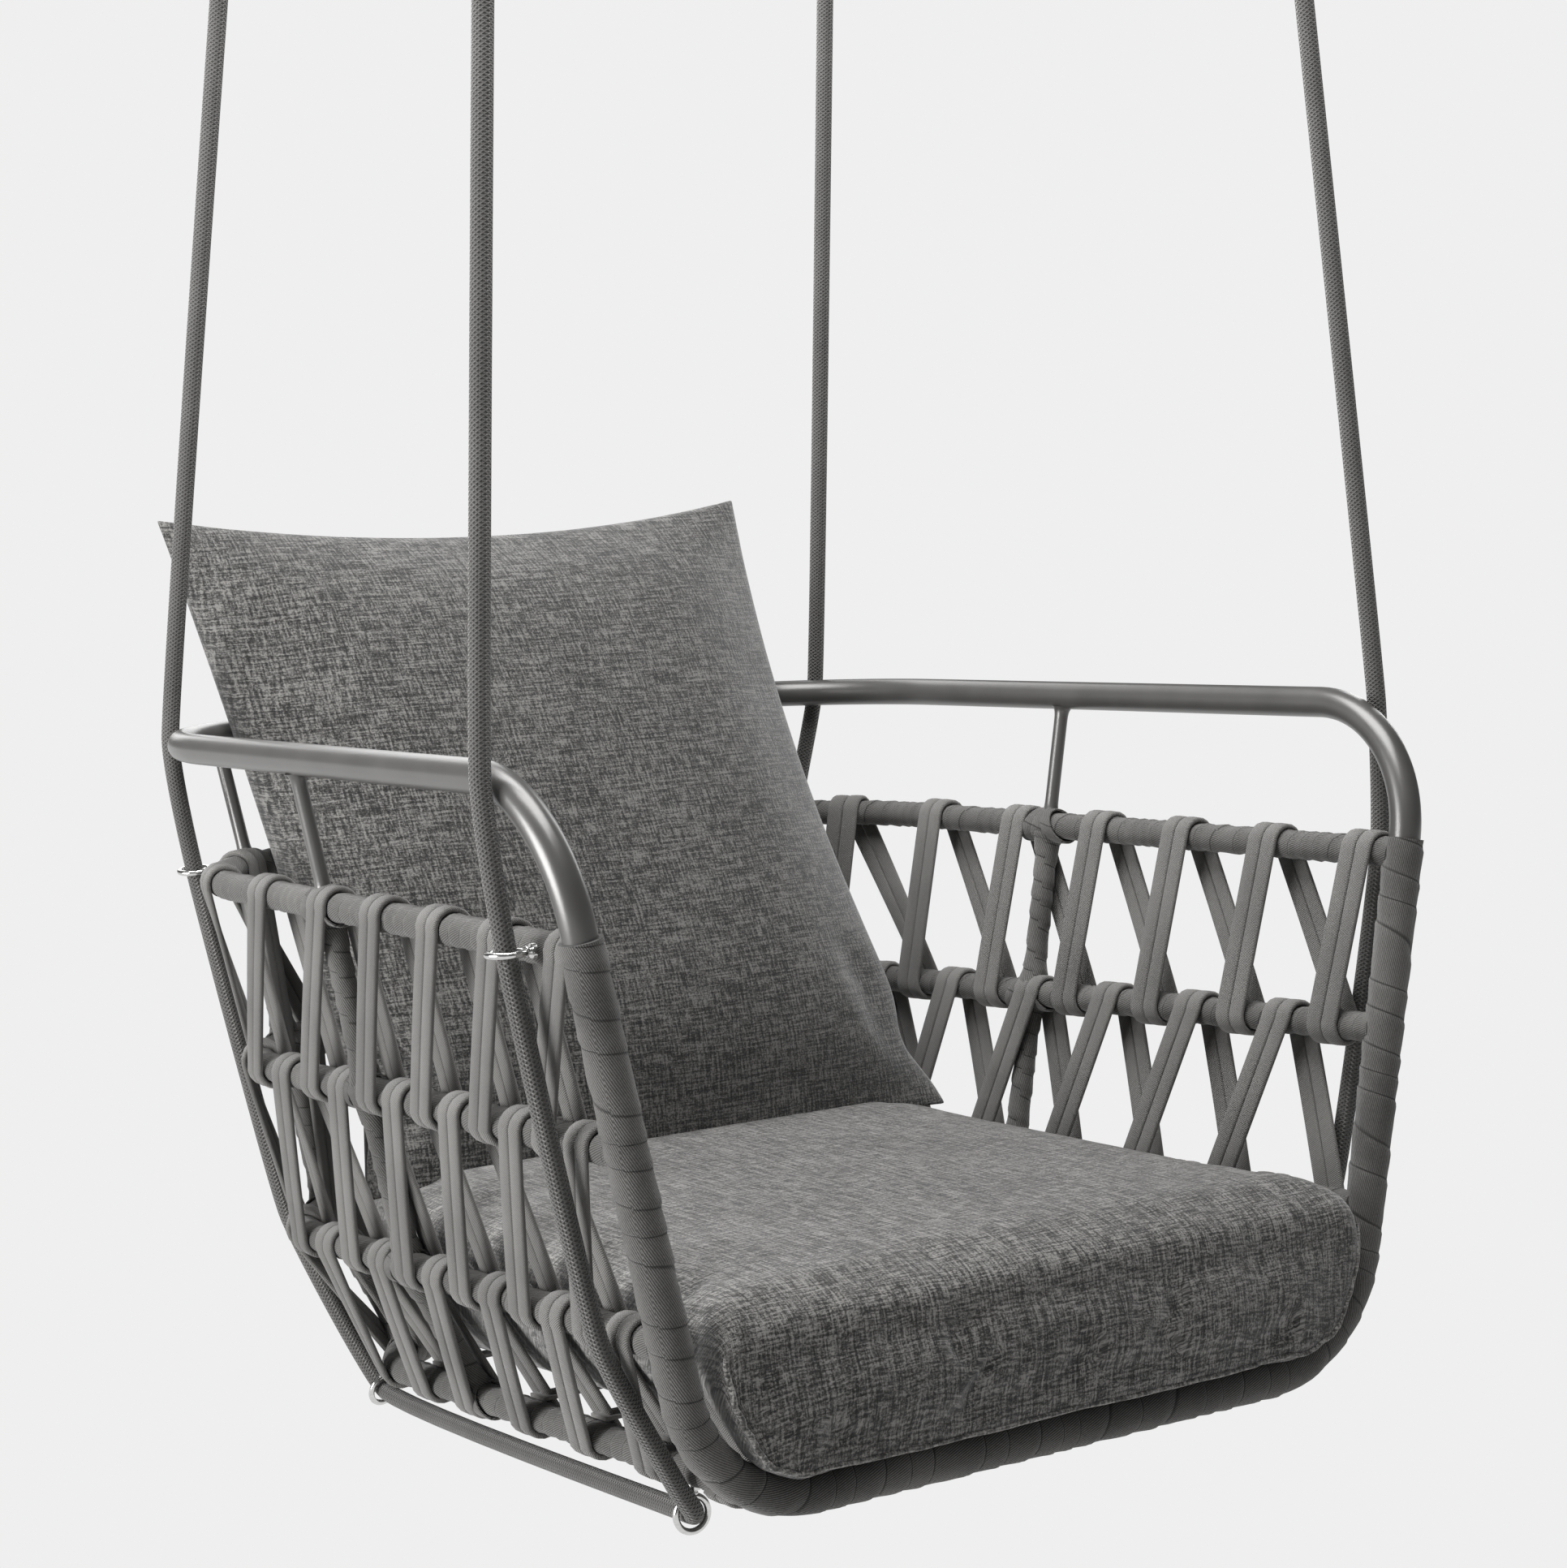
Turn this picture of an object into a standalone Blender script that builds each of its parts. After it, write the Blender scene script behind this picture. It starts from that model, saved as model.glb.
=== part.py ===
"""A one-seat hanging swing chair: a tube frame with strap-woven sides, two cushions and four ropes.

The row frame has its origin on the ceiling, over the middle of the four hooks: +X is the sitter's left,
the chair faces -Y and +Z is up. The chair itself is drawn in its own frame, whose origin lies in the plane
of the armrests, and hangs leaning back by CHAIR_LEAN. Every size is in metres.
"""

import math

import bmesh
import bpy
import numpy as np
from mathutils import Matrix, Vector

GAP = 0.0003  # between pieces that touch

# Driving dimensions of the chair, in the chair's frame
CHAIR_LEAN = math.radians(4.54)
ARM_FRONT_Y = -0.350  # plane of the front hoop
ARM_HALF_WIDTH = 0.391  # at the front hoop
SIDE_SPLAY = 0.029  # how fast the sides close towards the back
POST_LEAN = 0.190  # how fast the front posts close on the way down
TOP_TUBE_RADIUS = 0.0125
HOOP_WRAP_RADIUS = 0.0160
RAIL_TUBE_RADIUS = 0.0095
RAIL_WRAP_RADIUS = 0.0125
STRUT_RADIUS = 0.0060
POST_RADIUS = 0.0075
ARM_BEND_RADIUS = 0.104
HOOP_CORNER_RADIUS = 0.105
HOOP_BOTTOM_Z = -0.510
WRAP_START_Z = -0.105
HOOP_TOP_Z = -0.1062
TOP_BACK_Y = 0.495
TOP_CORNER_RADIUS = 0.225

# Rails: half width and height at the front hoop, fall towards the back, back line, corner radius
RAILS = {
    "upper": (0.369, -0.116, 0.000, 0.468, 0.205),
    "middle": (0.343, -0.253, 0.030, 0.445, 0.185),
    "lower": (0.315, -0.391, 0.045, 0.415, 0.160),
    "bottom": (0.258, -0.499, 0.065, 0.340, 0.125),
}
MID_POST_Y = 0.080
CORNER_POST_ANGLE = math.radians(52)

# Weave: cycles of the strap from the front hoop to the mid post, on to the corner post, and across the back
CYCLES_TO_MID_POST = 4.1
CYCLES_TO_CORNER_POST = 3
CYCLES_ACROSS_BACK = 6
STRAP_PAIR_WIDTH = 0.022
STRAP_THICKNESS = 0.004
STRAP_STEP = 45  # degrees between the folds of the strap round a rail
STRAP_CLEARANCE = 0.001
# For each row its two rails, the part of a cycle where the strap passes over the first and under the second,
# and how far the row leans out on its way up
WEAVE_ROWS = {
    "upper": ("upper", "middle", 0.49, 1.30, 11),
    "middle": ("middle", "lower", 0.70, 1.30, 10),
    "lower": ("lower", "bottom", 0.70, 1.25, 28),
}
WEAVE_END_CLEARANCE = 0.2  # of a cycle, to the front posts

# Seat deck and cushions
DECK_STRAPS = ((-0.223, 0.024), (-0.122, 0.024), (-0.021, 0.024), (0.163, 0.016))  # place and width
DECK_STRAP_THICKNESS = 0.003
SEAT_FRONT_Y = -0.385
SEAT_BACK_Y = 0.325
SEAT_TOP_Z = -0.366
PILLOW_TOP = Vector((0.306, 0.509, 0.192))
PILLOW_BOTTOM = Vector((0.294, 0.160, -0.350))
PILLOW_BACK_BOW = 0.024
PILLOW_SIDE_PULL = 0.020
PILLOW_FRONT_BULGE = 0.080
PILLOW_REAR_BULGE = 0.052

# Ropes, rings and ceiling fittings
ROPE_RADIUS = 0.0075
RING_RADIUS = 0.0129
RING_WIRE = 0.0025
EYE_SHANK_RADIUS = 0.003
EYE_NUT_RADIUS = 0.0065
EYE_NUT_THICKNESS = 0.004
FRONT_EYE_Y = -0.295
FRONT_EYE_REACH = 0.0335
REAR_EYE_ANGLE = math.radians(45.5)
REAR_EYE_REACH = 0.040
BOTTOM_EYE_FRONT_Y = -0.266
BOTTOM_EYE_REAR_ANGLE = math.radians(33)
BOTTOM_EYE_FRONT_OFFSET = (0.004, -0.032)  # of the ring's centre from the rail: outward, upward
BOTTOM_EYE_REAR_OFFSET = (0.013, -0.027)
LOWER_REST_ANGLE = math.radians(50)
ROPE_REST_Y = -0.290
ROPE_REST_LIFT = 0.0022
ROPE_LOW_REST_Y = -0.278
ROPE_LOW_REST_OFFSET = (0.0225, -0.006)
ROPE_SPLIT = 0.0022  # between a sling and the free rope that carries it on
FRONT_CONTACT_Y = -0.287
REAR_CONTACT_ANGLE = math.radians(39)
ROPE_CLEARANCE = 0.0004
FRONT_ROPE_LEAN = (0.077, 0.1056)  # inward and rearward for each unit up
REAR_ROPE_LEAN = (0.056, -0.1060)
PIVOT_HEIGHT = 0.740  # of the hook points over the chair's frame origin
HANGER_PLATE_SIDE = 0.060
HANGER_PLATE_THICKNESS = 0.005
HANGER_RING_RADIUS = 0.016
HANGER_RING_CENTRE_DROP = 0.023
FITTING_WIRE = 0.004
TERMINAL_RING_RADIUS = 0.011
TERMINAL_LENGTH = 0.046
FERRULE_RADIUS = 0.0095
SCREW_HOLE_RADIUS = 0.0027

TUBE_SIDES = 10
RAIL_SAMPLES = 2000
ARC_STEPS = 8
SIDES = {"left": -1, "right": 1}

PIVOT_DROP = HANGER_RING_CENTRE_DROP + HANGER_RING_RADIUS
STRAP_INNER_RADIUS = (RAIL_WRAP_RADIUS + STRAP_CLEARANCE) / math.cos(math.radians(STRAP_STEP / 2))
STRAP_OUTER_RADIUS = STRAP_INNER_RADIUS + STRAP_THICKNESS
UP = Vector((0, 0, 1))


# ---------------------------------------------------------------- materials and objects


def material(name, colour, roughness, metallic=0.0):
    found = bpy.data.materials.get(name) or bpy.data.materials.new(name)
    found.use_nodes = True
    shader = found.node_tree.nodes["Principled BSDF"]
    shader.inputs["Base Color"].default_value = (*colour, 1.0)
    shader.inputs["Roughness"].default_value = roughness
    shader.inputs["Metallic"].default_value = metallic
    return found


def clear_scene():
    for old in list(bpy.data.objects):
        bpy.data.objects.remove(old, do_unlink=True)


def add_object(name, data, finish, parent):
    """Links an object whose data is drawn in its parent's frame."""
    made = bpy.data.objects.new(name, data)
    bpy.context.scene.collection.objects.link(made)
    data.materials.append(finish)
    made.parent = parent
    return made


def add_mesh(name, shape, finish, parent):
    """Turns a bmesh into an object, its faces pointing out."""
    bmesh.ops.recalc_face_normals(shape, faces=shape.faces)
    mesh = bpy.data.meshes.new(name)
    shape.to_mesh(mesh)
    shape.free()
    mesh.shade_smooth()
    mesh.set_sharp_from_angle(angle=math.radians(40))
    return add_object(name, mesh, finish, parent)


def add_frame(name, location, lean=0.0):
    """An empty that carries the pieces of one moving body."""
    frame = bpy.data.objects.new(name, None)
    bpy.context.scene.collection.objects.link(frame)
    frame.location = location
    frame.rotation_euler = (-lean, 0, 0)
    return frame


def weld(base, helper):
    """Joins a hidden helper solid to the base with a Boolean union."""
    helper.hide_render = True
    helper.display_type = "WIRE"
    union = base.modifiers.new(helper.name, "BOOLEAN")
    union.operation = "UNION"
    union.solver = "EXACT"
    union.object = helper


def cut(base, helper):
    """Takes a hidden helper solid out of the base."""
    helper.hide_render = True
    helper.display_type = "WIRE"
    hole = base.modifiers.new(helper.name, "BOOLEAN")
    hole.operation = "DIFFERENCE"
    hole.solver = "EXACT"
    hole.object = helper


# ---------------------------------------------------------------- paths


def filleted(corners, radii, steps=ARC_STEPS):
    """The points of a broken line whose inner corners are rounded, each with its own radius."""
    points = [corners[0]]
    for before, corner, after, radius in zip(corners, corners[1:], corners[2:], radii):
        back = (before - corner).normalized()
        ahead = (after - corner).normalized()
        half = back.angle(ahead) / 2
        centre = corner + (back + ahead).normalized() * radius / math.sin(half)
        first = corner + back * radius / math.tan(half) - centre
        axis = back.cross(ahead).normalized()
        turn = 2 * half - math.pi
        for step in range(steps + 1):
            points.append(centre + Matrix.Rotation(turn * step / steps, 3, axis) @ first)
    points.append(corners[-1])
    return points


def bezier_route(stops, tangents, handle, steps):
    """A smooth curve through the stops of a rope, each with its direction and a short handle."""
    points = [stops[0]]
    for start, end, leave, arrive in zip(stops, stops[1:], tangents, tangents[1:]):
        reach = min(handle, (end - start).length * 0.35)
        a, b = start + leave * reach, end - arrive * reach
        for step in range(1, steps + 1):
            t = 0.5 - 0.5 * math.cos(math.pi * step / steps)
            points.append(
                start * (1 - t) ** 3 + a * 3 * t * (1 - t) ** 2 + b * 3 * t * t * (1 - t) + end * t**3
            )
    return points


def through(stops):
    """The direction of a route at each of its stops, halfway between its runs."""
    runs = [(b - a).normalized() for a, b in zip(stops, stops[1:])]
    inner = [(a + b).normalized() for a, b in zip(runs, runs[1:])]
    return [runs[0], *inner, runs[-1]]


class Rail:
    """One of the U-shaped rails round the seat, from the left front post to the right one."""

    def __init__(self, half_width, front_z, fall, back_y, corner_radius):
        self.half_width = half_width
        self.front_z = front_z
        self.fall = fall
        self.back_y = back_y
        self.corner_radius = corner_radius
        front = ARM_FRONT_Y + HOOP_WRAP_RADIUS + 2 * GAP
        corners = [self.side_point(-1, front), self.side_point(-1, back_y)]
        corners += [self.side_point(1, back_y), self.side_point(1, front)]
        self.points = filleted(corners, (corner_radius, corner_radius))
        rounded = filleted(corners, (corner_radius, corner_radius), steps=64)
        smooth = np.array([tuple(point) for point in rounded])
        lengths = np.linalg.norm(np.diff(smooth, axis=0), axis=1)
        reached = np.concatenate([[0.0], np.cumsum(lengths)])
        self.along = np.linspace(0.0, reached[-1], RAIL_SAMPLES)
        self.fine = np.stack([np.interp(self.along, reached, smooth[:, axis]) for axis in range(3)], axis=1)

    def width_at(self, y):
        return self.half_width - SIDE_SPLAY * (y - ARM_FRONT_Y)

    def height_at(self, y):
        return self.front_z - self.fall * (y - ARM_FRONT_Y)

    def side_point(self, side, y):
        return Vector((side * self.width_at(y), y, self.height_at(y)))

    def corner_point(self, side, angle, out=0.0):
        """A point of the rear corner, angle measured from straight sideways, moved out from the tube."""
        y0 = self.back_y - self.corner_radius
        reach = self.corner_radius + out
        y = y0 + reach * math.sin(angle)
        x = self.width_at(y0) - self.corner_radius + reach * math.cos(angle)
        return Vector((side * x, y, self.height_at(y)))

    def length_to(self, point):
        """Where along the rail it passes closest to a point."""
        return self.along[np.linalg.norm(self.fine - np.array(tuple(point)), axis=1).argmin()]

    def at_length(self, length):
        """The point at a length along the rail, with the rail's direction and the outward direction."""
        def read(where):
            return Vector([np.interp(where, self.along, self.fine[:, axis]) for axis in range(3)])

        ahead = (read(length + 0.002) - read(length - 0.002)).normalized()
        return read(length), ahead, UP.cross(ahead).normalized()

    def at_cycle(self, cycle):
        """The same, at a number of strap cycles counted from the left mid post."""
        total = self.along[-1]
        mid = self.length_to(self.side_point(-1, MID_POST_Y))
        corner = self.length_to(self.corner_point(-1, CORNER_POST_ANGLE))
        lengths = [0.0, mid, corner, total - corner, total - mid, total]
        past_back = CYCLES_TO_CORNER_POST + CYCLES_ACROSS_BACK
        right_mid = past_back + CYCLES_TO_CORNER_POST
        counts = [-CYCLES_TO_MID_POST, 0, CYCLES_TO_CORNER_POST, past_back]
        counts += [right_mid, right_mid + CYCLES_TO_MID_POST]
        return self.at_length(float(np.interp(cycle, counts, lengths)))


TOP_RAIL = Rail(ARM_HALF_WIDTH, 0.0, 0.0, TOP_BACK_Y, TOP_CORNER_RADIUS)
RAIL = {name: Rail(*sizes) for name, sizes in RAILS.items()}


def post_point(side, z):
    """The centre line of a front post at a height."""
    at_arm = ARM_HALF_WIDTH + POST_LEAN * 0.019
    return Vector((side * (at_arm + POST_LEAN * z), ARM_FRONT_Y, z))


# ---------------------------------------------------------------- solids


def tube(name, points, radius, finish, parent, sides=TUBE_SIDES):
    """A round bar along a line of points, as a curve with a bevel and filled caps."""
    curve = bpy.data.curves.new(name, "CURVE")
    curve.dimensions = "3D"
    curve.bevel_depth = radius
    curve.bevel_resolution = (sides - 4) // 2
    curve.use_fill_caps = True
    spline = curve.splines.new("POLY")
    spline.points.add(len(points) - 1)
    for place, point in zip(spline.points, points):
        place.co = (*point, 1.0)
    return add_object(name, curve, finish, parent)


def ring_frames(points):
    """A direction along and a level sideways direction for each point of a line."""
    for i, point in enumerate(points):
        ahead = (points[min(i + 1, len(points) - 1)] - points[max(i - 1, 0)]).normalized()
        side = ahead.cross(UP)
        if side.length < 0.2:
            side = ahead.cross(Vector((0, 1, 0)))
        side.normalize()
        yield point, side, side.cross(ahead).normalized()


def sleeve(name, points, inner, outer, finish, parent, sides=TUBE_SIDES):
    """A wrapping round a tube: a pipe along the same line, open at both ends."""
    inner = inner / math.cos(math.pi / sides)
    shape = bmesh.new()
    rings = []
    reference = None
    for point, side, above in ring_frames(points):
        if reference is not None:
            ahead = side.cross(above)
            side = (reference - ahead * reference.dot(ahead)).normalized()
            above = ahead.cross(side)
        reference = side
        ring = []
        for radius in (outer, inner):
            for k in range(sides):
                angle = 2 * math.pi * k / sides
                away = side * math.cos(angle) + above * math.sin(angle)
                ring.append(shape.verts.new(point + away * radius))
        rings.append(ring)
    for first, second in zip(rings, rings[1:]):
        for k in range(sides):
            n = (k + 1) % sides
            shape.faces.new((first[k], first[n], second[n], second[k]))
            shape.faces.new((first[sides + k], second[sides + k], second[sides + n], first[sides + n]))
    for ring in (rings[0], rings[-1]):
        for k in range(sides):
            n = (k + 1) % sides
            shape.faces.new((ring[k], ring[sides + k], ring[sides + n], ring[n]))
    return add_mesh(name, shape, finish, parent)


def loft(name, outlines, finish, parent):
    """A closed solid through outlines that have the same number of points."""
    shape = bmesh.new()
    rings = [[shape.verts.new(point) for point in outline] for outline in outlines]
    for first, second in zip(rings, rings[1:]):
        for k in range(len(first)):
            n = (k + 1) % len(first)
            shape.faces.new((first[k], first[n], second[n], second[k]))
    shape.faces.new(rings[0])
    shape.faces.new(rings[-1])
    return add_mesh(name, shape, finish, parent)


def cylinder(name, start, end, radius, finish, parent, sides=TUBE_SIDES):
    return tube(name, [start, end], radius, finish, parent, sides)


def solid_bar(name, start, end, radius, sides, finish, parent):
    """A bar as a mesh, which a Boolean can use."""
    shape = bmesh.new()
    length = (end - start).length
    turn = (end - start).to_track_quat("Z", "Y").to_matrix().to_4x4()
    place = Matrix.Translation((start + end) / 2) @ turn
    bmesh.ops.create_cone(
        shape, cap_ends=True, segments=sides, radius1=radius, radius2=radius, depth=length, matrix=place
    )
    return add_mesh(name, shape, finish, parent)


def ring(name, centre, axis, radius, wire, finish, parent, around=18, sides=6):
    """A closed wire ring."""
    shape = bmesh.new()
    axis = axis.normalized()
    first = axis.orthogonal().normalized()
    second = axis.cross(first)
    rings = []
    for i in range(around):
        angle = 2 * math.pi * i / around
        out = first * math.cos(angle) + second * math.sin(angle)
        loop = []
        for k in range(sides):
            turn = 2 * math.pi * k / sides
            away = out * (radius + wire * math.cos(turn)) + axis * wire * math.sin(turn)
            loop.append(shape.verts.new(centre + away))
        rings.append(loop)
    for i in range(around):
        now, following = rings[i], rings[(i + 1) % around]
        for k in range(sides):
            n = (k + 1) % sides
            shape.faces.new((now[k], now[n], following[n], following[k]))
    return add_mesh(name, shape, finish, parent)


# ---------------------------------------------------------------- frame


def build_top_rail(finish, chair):
    corners = [post_point(-1, WRAP_START_Z), TOP_RAIL.side_point(-1, ARM_FRONT_Y)]
    corners += [TOP_RAIL.side_point(-1, TOP_BACK_Y), TOP_RAIL.side_point(1, TOP_BACK_Y)]
    corners += [TOP_RAIL.side_point(1, ARM_FRONT_Y), post_point(1, WRAP_START_Z)]
    radii = (ARM_BEND_RADIUS, TOP_CORNER_RADIUS, TOP_CORNER_RADIUS, ARM_BEND_RADIUS)
    tube("top_rail", filleted(corners, radii), TOP_TUBE_RADIUS, finish, chair)


def hoop_points(top_z):
    corners = [post_point(-1, top_z), post_point(-1, HOOP_BOTTOM_Z)]
    corners += [post_point(1, HOOP_BOTTOM_Z), post_point(1, top_z)]
    return filleted(corners, (HOOP_CORNER_RADIUS, HOOP_CORNER_RADIUS))


def build_front_hoop(paint, strap, chair):
    tube("front_hoop", hoop_points(HOOP_TOP_Z), TOP_TUBE_RADIUS, paint, chair)
    inner = TOP_TUBE_RADIUS + GAP
    sleeve("front_hoop_wrap", hoop_points(HOOP_TOP_Z), inner, HOOP_WRAP_RADIUS, strap, chair)


def build_rails(paint, strap, chair):
    for name, rail in RAIL.items():
        tube(f"{name}_rail", rail.points, RAIL_TUBE_RADIUS, paint, chair, sides=8)
        inner = RAIL_TUBE_RADIUS + GAP
        sleeve(f"{name}_rail_wrap", rail.points, inner, RAIL_WRAP_RADIUS, strap, chair, sides=8)


def between(first, second, clear_first, clear_second):
    """The two ends of an upright that runs between two tubes and stops short of both."""
    run = (second - first).normalized()
    return first + run * clear_first, second - run * clear_second


def build_uprights(paint, strap, chair):
    """Bare struts under the armrests, and wrapped posts below them, at mid side and at the rear corners."""
    levels = list(RAIL)
    for label, side in SIDES.items():
        def at_mid(rail, side=side):
            return rail.side_point(side, MID_POST_Y)

        def at_corner(rail, side=side):
            return rail.corner_point(side, CORNER_POST_ANGLE)

        for place, point_on in (("mid", at_mid), ("corner", at_corner)):
            start, end = between(
                point_on(TOP_RAIL), point_on(RAIL["upper"]), TOP_TUBE_RADIUS + 2 * GAP, RAIL_WRAP_RADIUS + 2 * GAP
            )
            cylinder(f"{place}_strut_{label}", start, end, STRUT_RADIUS, paint, chair)
            for upper, lower in zip(levels, levels[1:]):
                clear = RAIL_WRAP_RADIUS + 2 * GAP
                start, end = between(point_on(RAIL[upper]), point_on(RAIL[lower]), clear, clear)
                cylinder(f"{place}_post_{upper}_{label}", start, end, POST_RADIUS, strap, chair)


# ---------------------------------------------------------------- weave


def strap_section(rail, cycle, angle):
    """The four corners of the strap where it passes a rail, angle 0 outside, 90 on top, 180 inside."""
    point, ahead, out = rail.at_cycle(cycle)
    above = ahead.cross(out) * -1
    if above.z < 0:
        above = -above
    turn = math.radians(angle)
    away = out * math.cos(turn) + above * math.sin(turn)
    near, far = away * STRAP_INNER_RADIUS, away * STRAP_OUTER_RADIUS
    half = ahead * STRAP_PAIR_WIDTH / 2
    return [point + near - half, point + near + half, point + far + half, point + far - half]


def build_weave(strap, chair):
    """Each row is one strap pair, wound round two rails from the left front post to the right one."""
    right_mid = 2 * CYCLES_TO_CORNER_POST + CYCLES_ACROSS_BACK
    first = WEAVE_END_CLEARANCE - CYCLES_TO_MID_POST
    last = right_mid - first
    for name, (top_rail, bottom_rail, over, under, lean) in WEAVE_ROWS.items():
        sections = []
        for cycle in range(-6, right_mid + 6):
            for rail, place, turned in ((top_rail, cycle + over, 180), (bottom_rail, cycle + under, 0)):
                if first <= place <= last:
                    for angle in range(turned, turned - 181, -STRAP_STEP):
                        sections.append(strap_section(RAIL[rail], place, angle - lean))
        loft(f"weave_{name}_row", sections, strap, chair)


def build_deck(strap, chair):
    """Straps across the bottom rails that carry the seat cushion."""
    rail = RAIL["bottom"]
    lift = RAIL_WRAP_RADIUS + 2 * GAP
    for i, (y, width) in enumerate(DECK_STRAPS):
        outlines = []
        for side in (-1, 1):
            outline = []
            for dy, dz in ((-0.5, 0), (0.5, 0), (0.5, 1), (-0.5, 1)):
                at = rail.side_point(side, y + dy * width)
                outline.append(at + UP * (lift + dz * DECK_STRAP_THICKNESS))
            outlines.append(outline)
        loft(f"deck_strap_{i + 1}", outlines, strap, chair)


# ---------------------------------------------------------------- cushions


def seat_outline(y, width_scale, inset):
    """The seat cushion's outline across the chair: upright top edges and wide rounded lower corners."""
    rail = RAIL["bottom"]
    lift = RAIL_WRAP_RADIUS + STRAP_THICKNESS + DECK_STRAP_THICKNESS + 4 * GAP
    bottom = rail.height_at(max(y, ARM_FRONT_Y)) + lift + inset
    top = SEAT_TOP_Z - inset
    half = [(0.276, top), (0.288, top - 0.014), (0.284, -0.396), (0.270, -0.424), (0.250, -0.455), (0.218, bottom)]
    right = [Vector((x * width_scale - inset, y, z)) for x, z in half]
    left = [Vector((-point.x, point.y, point.z)) for point in reversed(right)]
    return right + left


def build_seat_cushion(fabric, chair):
    stations = [(SEAT_FRONT_Y, 0.014), (SEAT_FRONT_Y + 0.014, 0.0), (-0.300, 0.0), (0.100, 0.0)]
    stations += [(0.220, 0.010), (0.290, 0.040), (SEAT_BACK_Y, 0.080)]
    outlines = []
    for y, narrowing in stations:
        scale = 1 - SIDE_SPLAY * (y - SEAT_FRONT_Y) / ARM_HALF_WIDTH - narrowing / 0.3
        inset = 0.014 if y in (SEAT_FRONT_Y, SEAT_BACK_Y) else 0.0
        outlines.append(seat_outline(y, scale, inset))
    loft("seat_cushion", outlines, fabric, chair)


def build_back_pillow(fabric, chair):
    """A knife-edge pillow: a bowed middle sheet, swollen to both sides away from its edges."""
    steps = 12
    shape = bmesh.new()
    down = PILLOW_BOTTOM - PILLOW_TOP
    down.x = 0
    away = Vector((0, down.z, -down.y)).normalized()
    if away.y > 0:
        away = -away
    grids = []
    for bulge in (PILLOW_FRONT_BULGE, -PILLOW_REAR_BULGE):
        grid = []
        for j in range(steps + 1):
            v = 1 - 2 * j / steps
            row = []
            for i in range(steps + 1):
                u = 2 * i / steps - 1
                along = PILLOW_TOP.lerp(PILLOW_BOTTOM, j / steps)
                pull = PILLOW_SIDE_PULL * (1 - v * v)
                middle = Vector((u * (along.x - pull), along.y, along.z))
                middle -= away * PILLOW_BACK_BOW * (1 - v * v)
                middle.z -= 0.03 * (1 - u * u) * max(v, 0) ** 3
                swell = max((1 - u * u) * (1 - v * v), 0.0) ** 0.5
                edge = 0.0015 if bulge > 0 else -0.0015
                row.append(shape.verts.new(middle + away * (bulge * swell + edge)))
            grid.append(row)
        grids.append(grid)
    for grid in grids:
        for j in range(steps):
            for i in range(steps):
                shape.faces.new((grid[j][i], grid[j][i + 1], grid[j + 1][i + 1], grid[j + 1][i]))
    front, rear = grids
    border = [(0, i) for i in range(steps)] + [(j, steps) for j in range(steps)]
    border += [(steps, steps - i) for i in range(steps)] + [(steps - j, 0) for j in range(steps)]
    for (j, i), (n, m) in zip(border, border[1:] + border[:1]):
        shape.faces.new((front[j][i], front[n][m], rear[n][m], rear[j][i]))
    add_mesh("back_pillow", shape, fabric, chair)


# ---------------------------------------------------------------- ropes and their rings


def sling_stops(side):
    """Where a side's rope goes on the chair: armrest, rings, under the seat and up to the armrest again."""
    clear = ROPE_RADIUS + ROPE_CLEARANCE
    front_arm = TOP_RAIL.side_point(side, FRONT_CONTACT_Y)
    front_arm.x += side * (TOP_TUBE_RADIUS + clear)
    upper_front = RAIL["upper"].side_point(side, FRONT_EYE_Y)
    upper_front.x += side * FRONT_EYE_REACH
    on_weave = STRAP_OUTER_RADIUS + clear
    rest_front = RAIL["lower"].side_point(side, ROPE_REST_Y)
    rest_front.x += side * (on_weave + ROPE_REST_LIFT)
    out, up = ROPE_LOW_REST_OFFSET
    low_rest = RAIL["bottom"].side_point(side, ROPE_LOW_REST_Y) + Vector((side * out, 0, up))
    out, up = BOTTOM_EYE_FRONT_OFFSET
    low_front = RAIL["bottom"].side_point(side, BOTTOM_EYE_FRONT_Y) + Vector((side * out, 0, up))
    out, up = BOTTOM_EYE_REAR_OFFSET
    low_rear = RAIL["bottom"].corner_point(side, BOTTOM_EYE_REAR_ANGLE, out) + UP * up
    rest_rear = RAIL["lower"].corner_point(side, LOWER_REST_ANGLE, on_weave)
    upper_rear = RAIL["upper"].corner_point(side, REAR_EYE_ANGLE, REAR_EYE_REACH)
    rear_arm = TOP_RAIL.corner_point(side, REAR_CONTACT_ANGLE, TOP_TUBE_RADIUS + clear)
    front = [front_arm, upper_front, rest_front, low_rest, low_front]
    return [*front, low_rear, rest_rear, upper_rear, rear_arm]


def sling_ways(side):
    """The direction of a sling at each stop; through the lower front ring it already runs back."""
    stops = sling_stops(side)
    ways = through(stops)
    ways[4] = (stops[5] - stops[4]).normalized()
    return ways


def eye_bolt(name, centre, axis, foot, stand_off, finish, chair):
    """A ring on a threaded shank with its nut; the shank stops at the rail's surface."""
    run = (foot - centre).normalized()
    made = ring(name, centre, axis - run * axis.dot(run), RING_RADIUS, RING_WIRE, finish, chair)
    end = foot - run * stand_off
    start = centre + run * RING_RADIUS
    weld(made, solid_bar(f"{name}_shank", start, end, EYE_SHANK_RADIUS, 10, finish, chair))
    weld(made, solid_bar(f"{name}_nut", end - run * EYE_NUT_THICKNESS, end, EYE_NUT_RADIUS, 6, finish, chair))


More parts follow.
